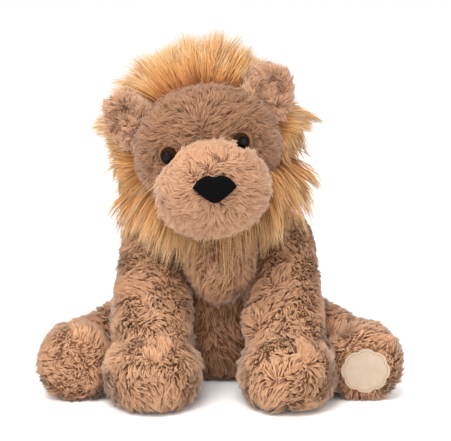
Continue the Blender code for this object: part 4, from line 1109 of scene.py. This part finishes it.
patch_shape = bmesh.new()
rim = bmesh.ops.create_circle(patch_shape, cap_ends=True, segments=PATCH_STEPS, radius=1.0)["verts"]
for corner in rim:
    corner.co = patch_edge(math.atan2(corner.co.y, corner.co.x))
face = patch_shape.faces[:]
bmesh.ops.inset_region(patch_shape, faces=face, thickness=0.0011, depth=0.0005)
face = [f for f in patch_shape.faces if len(f.verts) > 8]
bmesh.ops.inset_region(patch_shape, faces=face, thickness=0.0007, depth=-0.0003)
face = [f for f in patch_shape.faces if len(f.verts) > 8]
bmesh.ops.poke(patch_shape, faces=face)
bmesh.ops.solidify(patch_shape, geom=patch_shape.faces[:], thickness=0.0012)
bmesh.ops.recalc_face_normals(patch_shape, faces=patch_shape.faces)
patch_turn = Matrix.Translation(patch_centre) @ Matrix.Rotation(math.radians(90.0), 4, "X")
bmesh.ops.transform(patch_shape, matrix=patch_turn, verts=patch_shape.verts)
patch = solid_from("leatherette_patch", patch_shape)
patch.data.shade_smooth()
patch.data.set_sharp_from_angle(angle=math.radians(40.0))
hide, hide_shader, start = finish_of("cream_leatherette", 0.42)
place = start.place()
grain = start.node("ShaderNodeTexVoronoi", None, {"Vector": place, "Scale": 1100.0})
cloud = start.noise(place, 120.0)
cream = (cloud * 0.8 + grain * 0.2).mix((0.36, 0.265, 0.185), (0.48, 0.37, 0.27))
paint(hide_shader, start, cream, grain, 0.35, 0.0003)
patch.data.materials.append(hide)
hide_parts("foot_patch")
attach(patch, "leg_left")

stitch_shape = bmesh.new()
for number in range(STITCHES):
    angle = math.tau * (number + 0.5) / STITCHES
    spot = patch_edge(angle, STITCH_SHARE, 0.0004)
    along = patch_edge(angle + 0.01, STITCH_SHARE, 0.0004) - spot
    grown = bmesh.ops.create_uvsphere(stitch_shape, u_segments=8, v_segments=6, radius=1.0)["verts"]
    turn = along.to_track_quat("X", "Z").to_matrix().to_4x4()
    scale = Matrix.Diagonal(STITCH_HALF)
    bmesh.ops.transform(stitch_shape, matrix=Matrix.Translation(spot) @ turn @ scale, verts=grown)
bmesh.ops.transform(stitch_shape, matrix=patch_turn, verts=stitch_shape.verts)
stitches = solid_from("patch_stitches", stitch_shape)
stitches.data.shade_smooth()
thread, thread_shader, start = finish_of("straw_thread", 0.6)
place = start.place()
ply = start.noise(place, 2500.0)
paint(thread_shader, start, ply.mix((0.26, 0.16, 0.07), (0.40, 0.28, 0.14)))
stitches.data.materials.append(thread)
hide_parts("patch_stitching")
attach(stitches, "leg_left")


# Tail: a thin stuffed tube of plush that leaves the seat at the back and curls on the ground,
# with a tuft of mane pile at its end.
TAIL_ROOT = Vector((0.0, 0.079, 0.024))
TAIL_RADIUS = 0.0075


def tail_spot(share):
    settle = min(1.0, share / 0.45)
    ease = settle * settle * (3.0 - 2.0 * settle)
    angle = math.radians(150.0) * share
    drop = (TAIL_RADIUS + 0.0006 - TAIL_ROOT.z) * ease
    return TAIL_ROOT + Vector((0.085 * (1.0 - math.cos(angle)) / 2, 0.0325 * math.sin(angle), drop))


tail_shape = bmesh.new()
ring = bmesh.ops.create_circle(tail_shape, cap_ends=True, segments=20, radius=TAIL_RADIUS - 0.002)["verts"]
shares = [i / 20 for i in range(21)]
first = tail_spot(0.0)
heading = (tail_spot(0.02) - first).normalized()
bmesh.ops.transform(
    tail_shape, matrix=Matrix.Translation(first) @ heading.to_track_quat("Z", "Y").to_matrix().to_4x4(),
    verts=tail_shape.verts,
)
end_face = tail_shape.faces[:]
for low, high in zip(shares, shares[1:]):
    grown = bmesh.ops.extrude_face_region(tail_shape, geom=end_face)["geom"]
    end_face = [item for item in grown if isinstance(item, bmesh.types.BMFace)]
    moved = [item for item in grown if isinstance(item, bmesh.types.BMVert)]
    here, there = tail_spot(low), tail_spot(high)
    new_heading = (tail_spot(min(1.0, high + 0.02)) - tail_spot(high - 0.02)).normalized()
    swing = heading.rotation_difference(new_heading).to_matrix().to_4x4()
    bmesh.ops.transform(
        tail_shape, matrix=Matrix.Translation(there) @ swing @ Matrix.Translation(-here), verts=moved
    )
    heading = new_heading
bmesh.ops.recalc_face_normals(tail_shape, faces=tail_shape.faces)
tail_skin = solid_from("tail_cloth", tail_shape)
tail_skin.data.shade_smooth()
tail_skin.data.materials.append(BODY_BACKING)
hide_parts("tail_skin")
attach(tail_skin, "tail")
tail_line = np.array([tail_spot(share) for share in shares])


def tail_comb(spot, out):
    near = np.argmin(np.linalg.norm(spot[:, None] - tail_line[None], axis=2), axis=1)
    near = np.clip(near, 0, len(tail_line) - 2)
    return unit(tail_line[near + 1] - tail_line[near])


tail_pile = grow_pile(
    "tail_pile", tail_skin, TAN_FUR, 5500, 91, 0.0085, 0.00080, comb=tail_comb, swirl=0.5, swirl_size=0.007,
)
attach(tail_pile, "tail")
tuft_way = (tail_spot(1.0) - tail_spot(0.875)).normalized()
tuft_middle = tail_spot(1.0) + tuft_way * 0.0156
tuft_middle.z = 0.0141
tuft_skin = stuffed("tuft_cloth", (
    (
        (0.0085, 0.0085, 0.020),
        Matrix.Translation(tuft_middle) @ tuft_way.to_track_quat("Z", "Y").to_matrix().to_4x4(),
        ROUND,
    ),
), voxel=0.0018, rounds=2)
tuft_skin.data.materials.append(mane_skin.data.materials[0])
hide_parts("tail_tuft")
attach(tuft_skin, "tail")
tuft_pile = grow_pile(
    "tuft_pile", tuft_skin, MANE_FUR, 2500, 92, 0.020, 0.00100,
    comb=lambda spot, out: np.array([list(tuft_way)]) + 0.2 * out,
    steps=3, sides=3, rise=(45.0, 10.0), lock=0.004, swirl=0.2, curl=0.1, droop=0.2,
)
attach(tuft_pile, "tail")


# Inside: loose polyester filling in every bag, a pouch of plastic pellets in the seat, and the
# white washers behind the eyes. None of it shows.
filling, filling_shader, start = finish_of("polyester_filling", 0.9)
place = start.place()
wisp = start.noise(place, 260.0, 6.0, 0.7)
paint(filling_shader, start, wisp.mix((0.78, 0.77, 0.74), (0.95, 0.94, 0.92)), wisp, 0.6, 0.001)
pouch, pouch_shader, start = finish_of("pellet_pouch", 0.7)
place = start.place()
bead = start.node("ShaderNodeTexVoronoi", None, {"Vector": place, "Scale": 320.0})
paint(pouch_shader, start, bead.mix((0.78, 0.78, 0.80), (0.45, 0.45, 0.48)), bead, 0.8, 0.001)
pressed, pressed_shader, start = finish_of("washer_nylon", 0.4)
place = start.place()
cloud = start.noise(place, 400.0)
paint(pressed_shader, start, cloud.mix((0.74, 0.74, 0.73), (0.86, 0.86, 0.85)))
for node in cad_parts:
    look = filling if node.endswith("stuffing") or "_stuffing_" in node else None
    look = pouch if node == "bean_bag" else pressed if node.startswith("eye_washer") else look
    if look:
        solid = bpy.data.objects[node]
        solid.data.materials.clear()
        solid.data.materials.append(look)
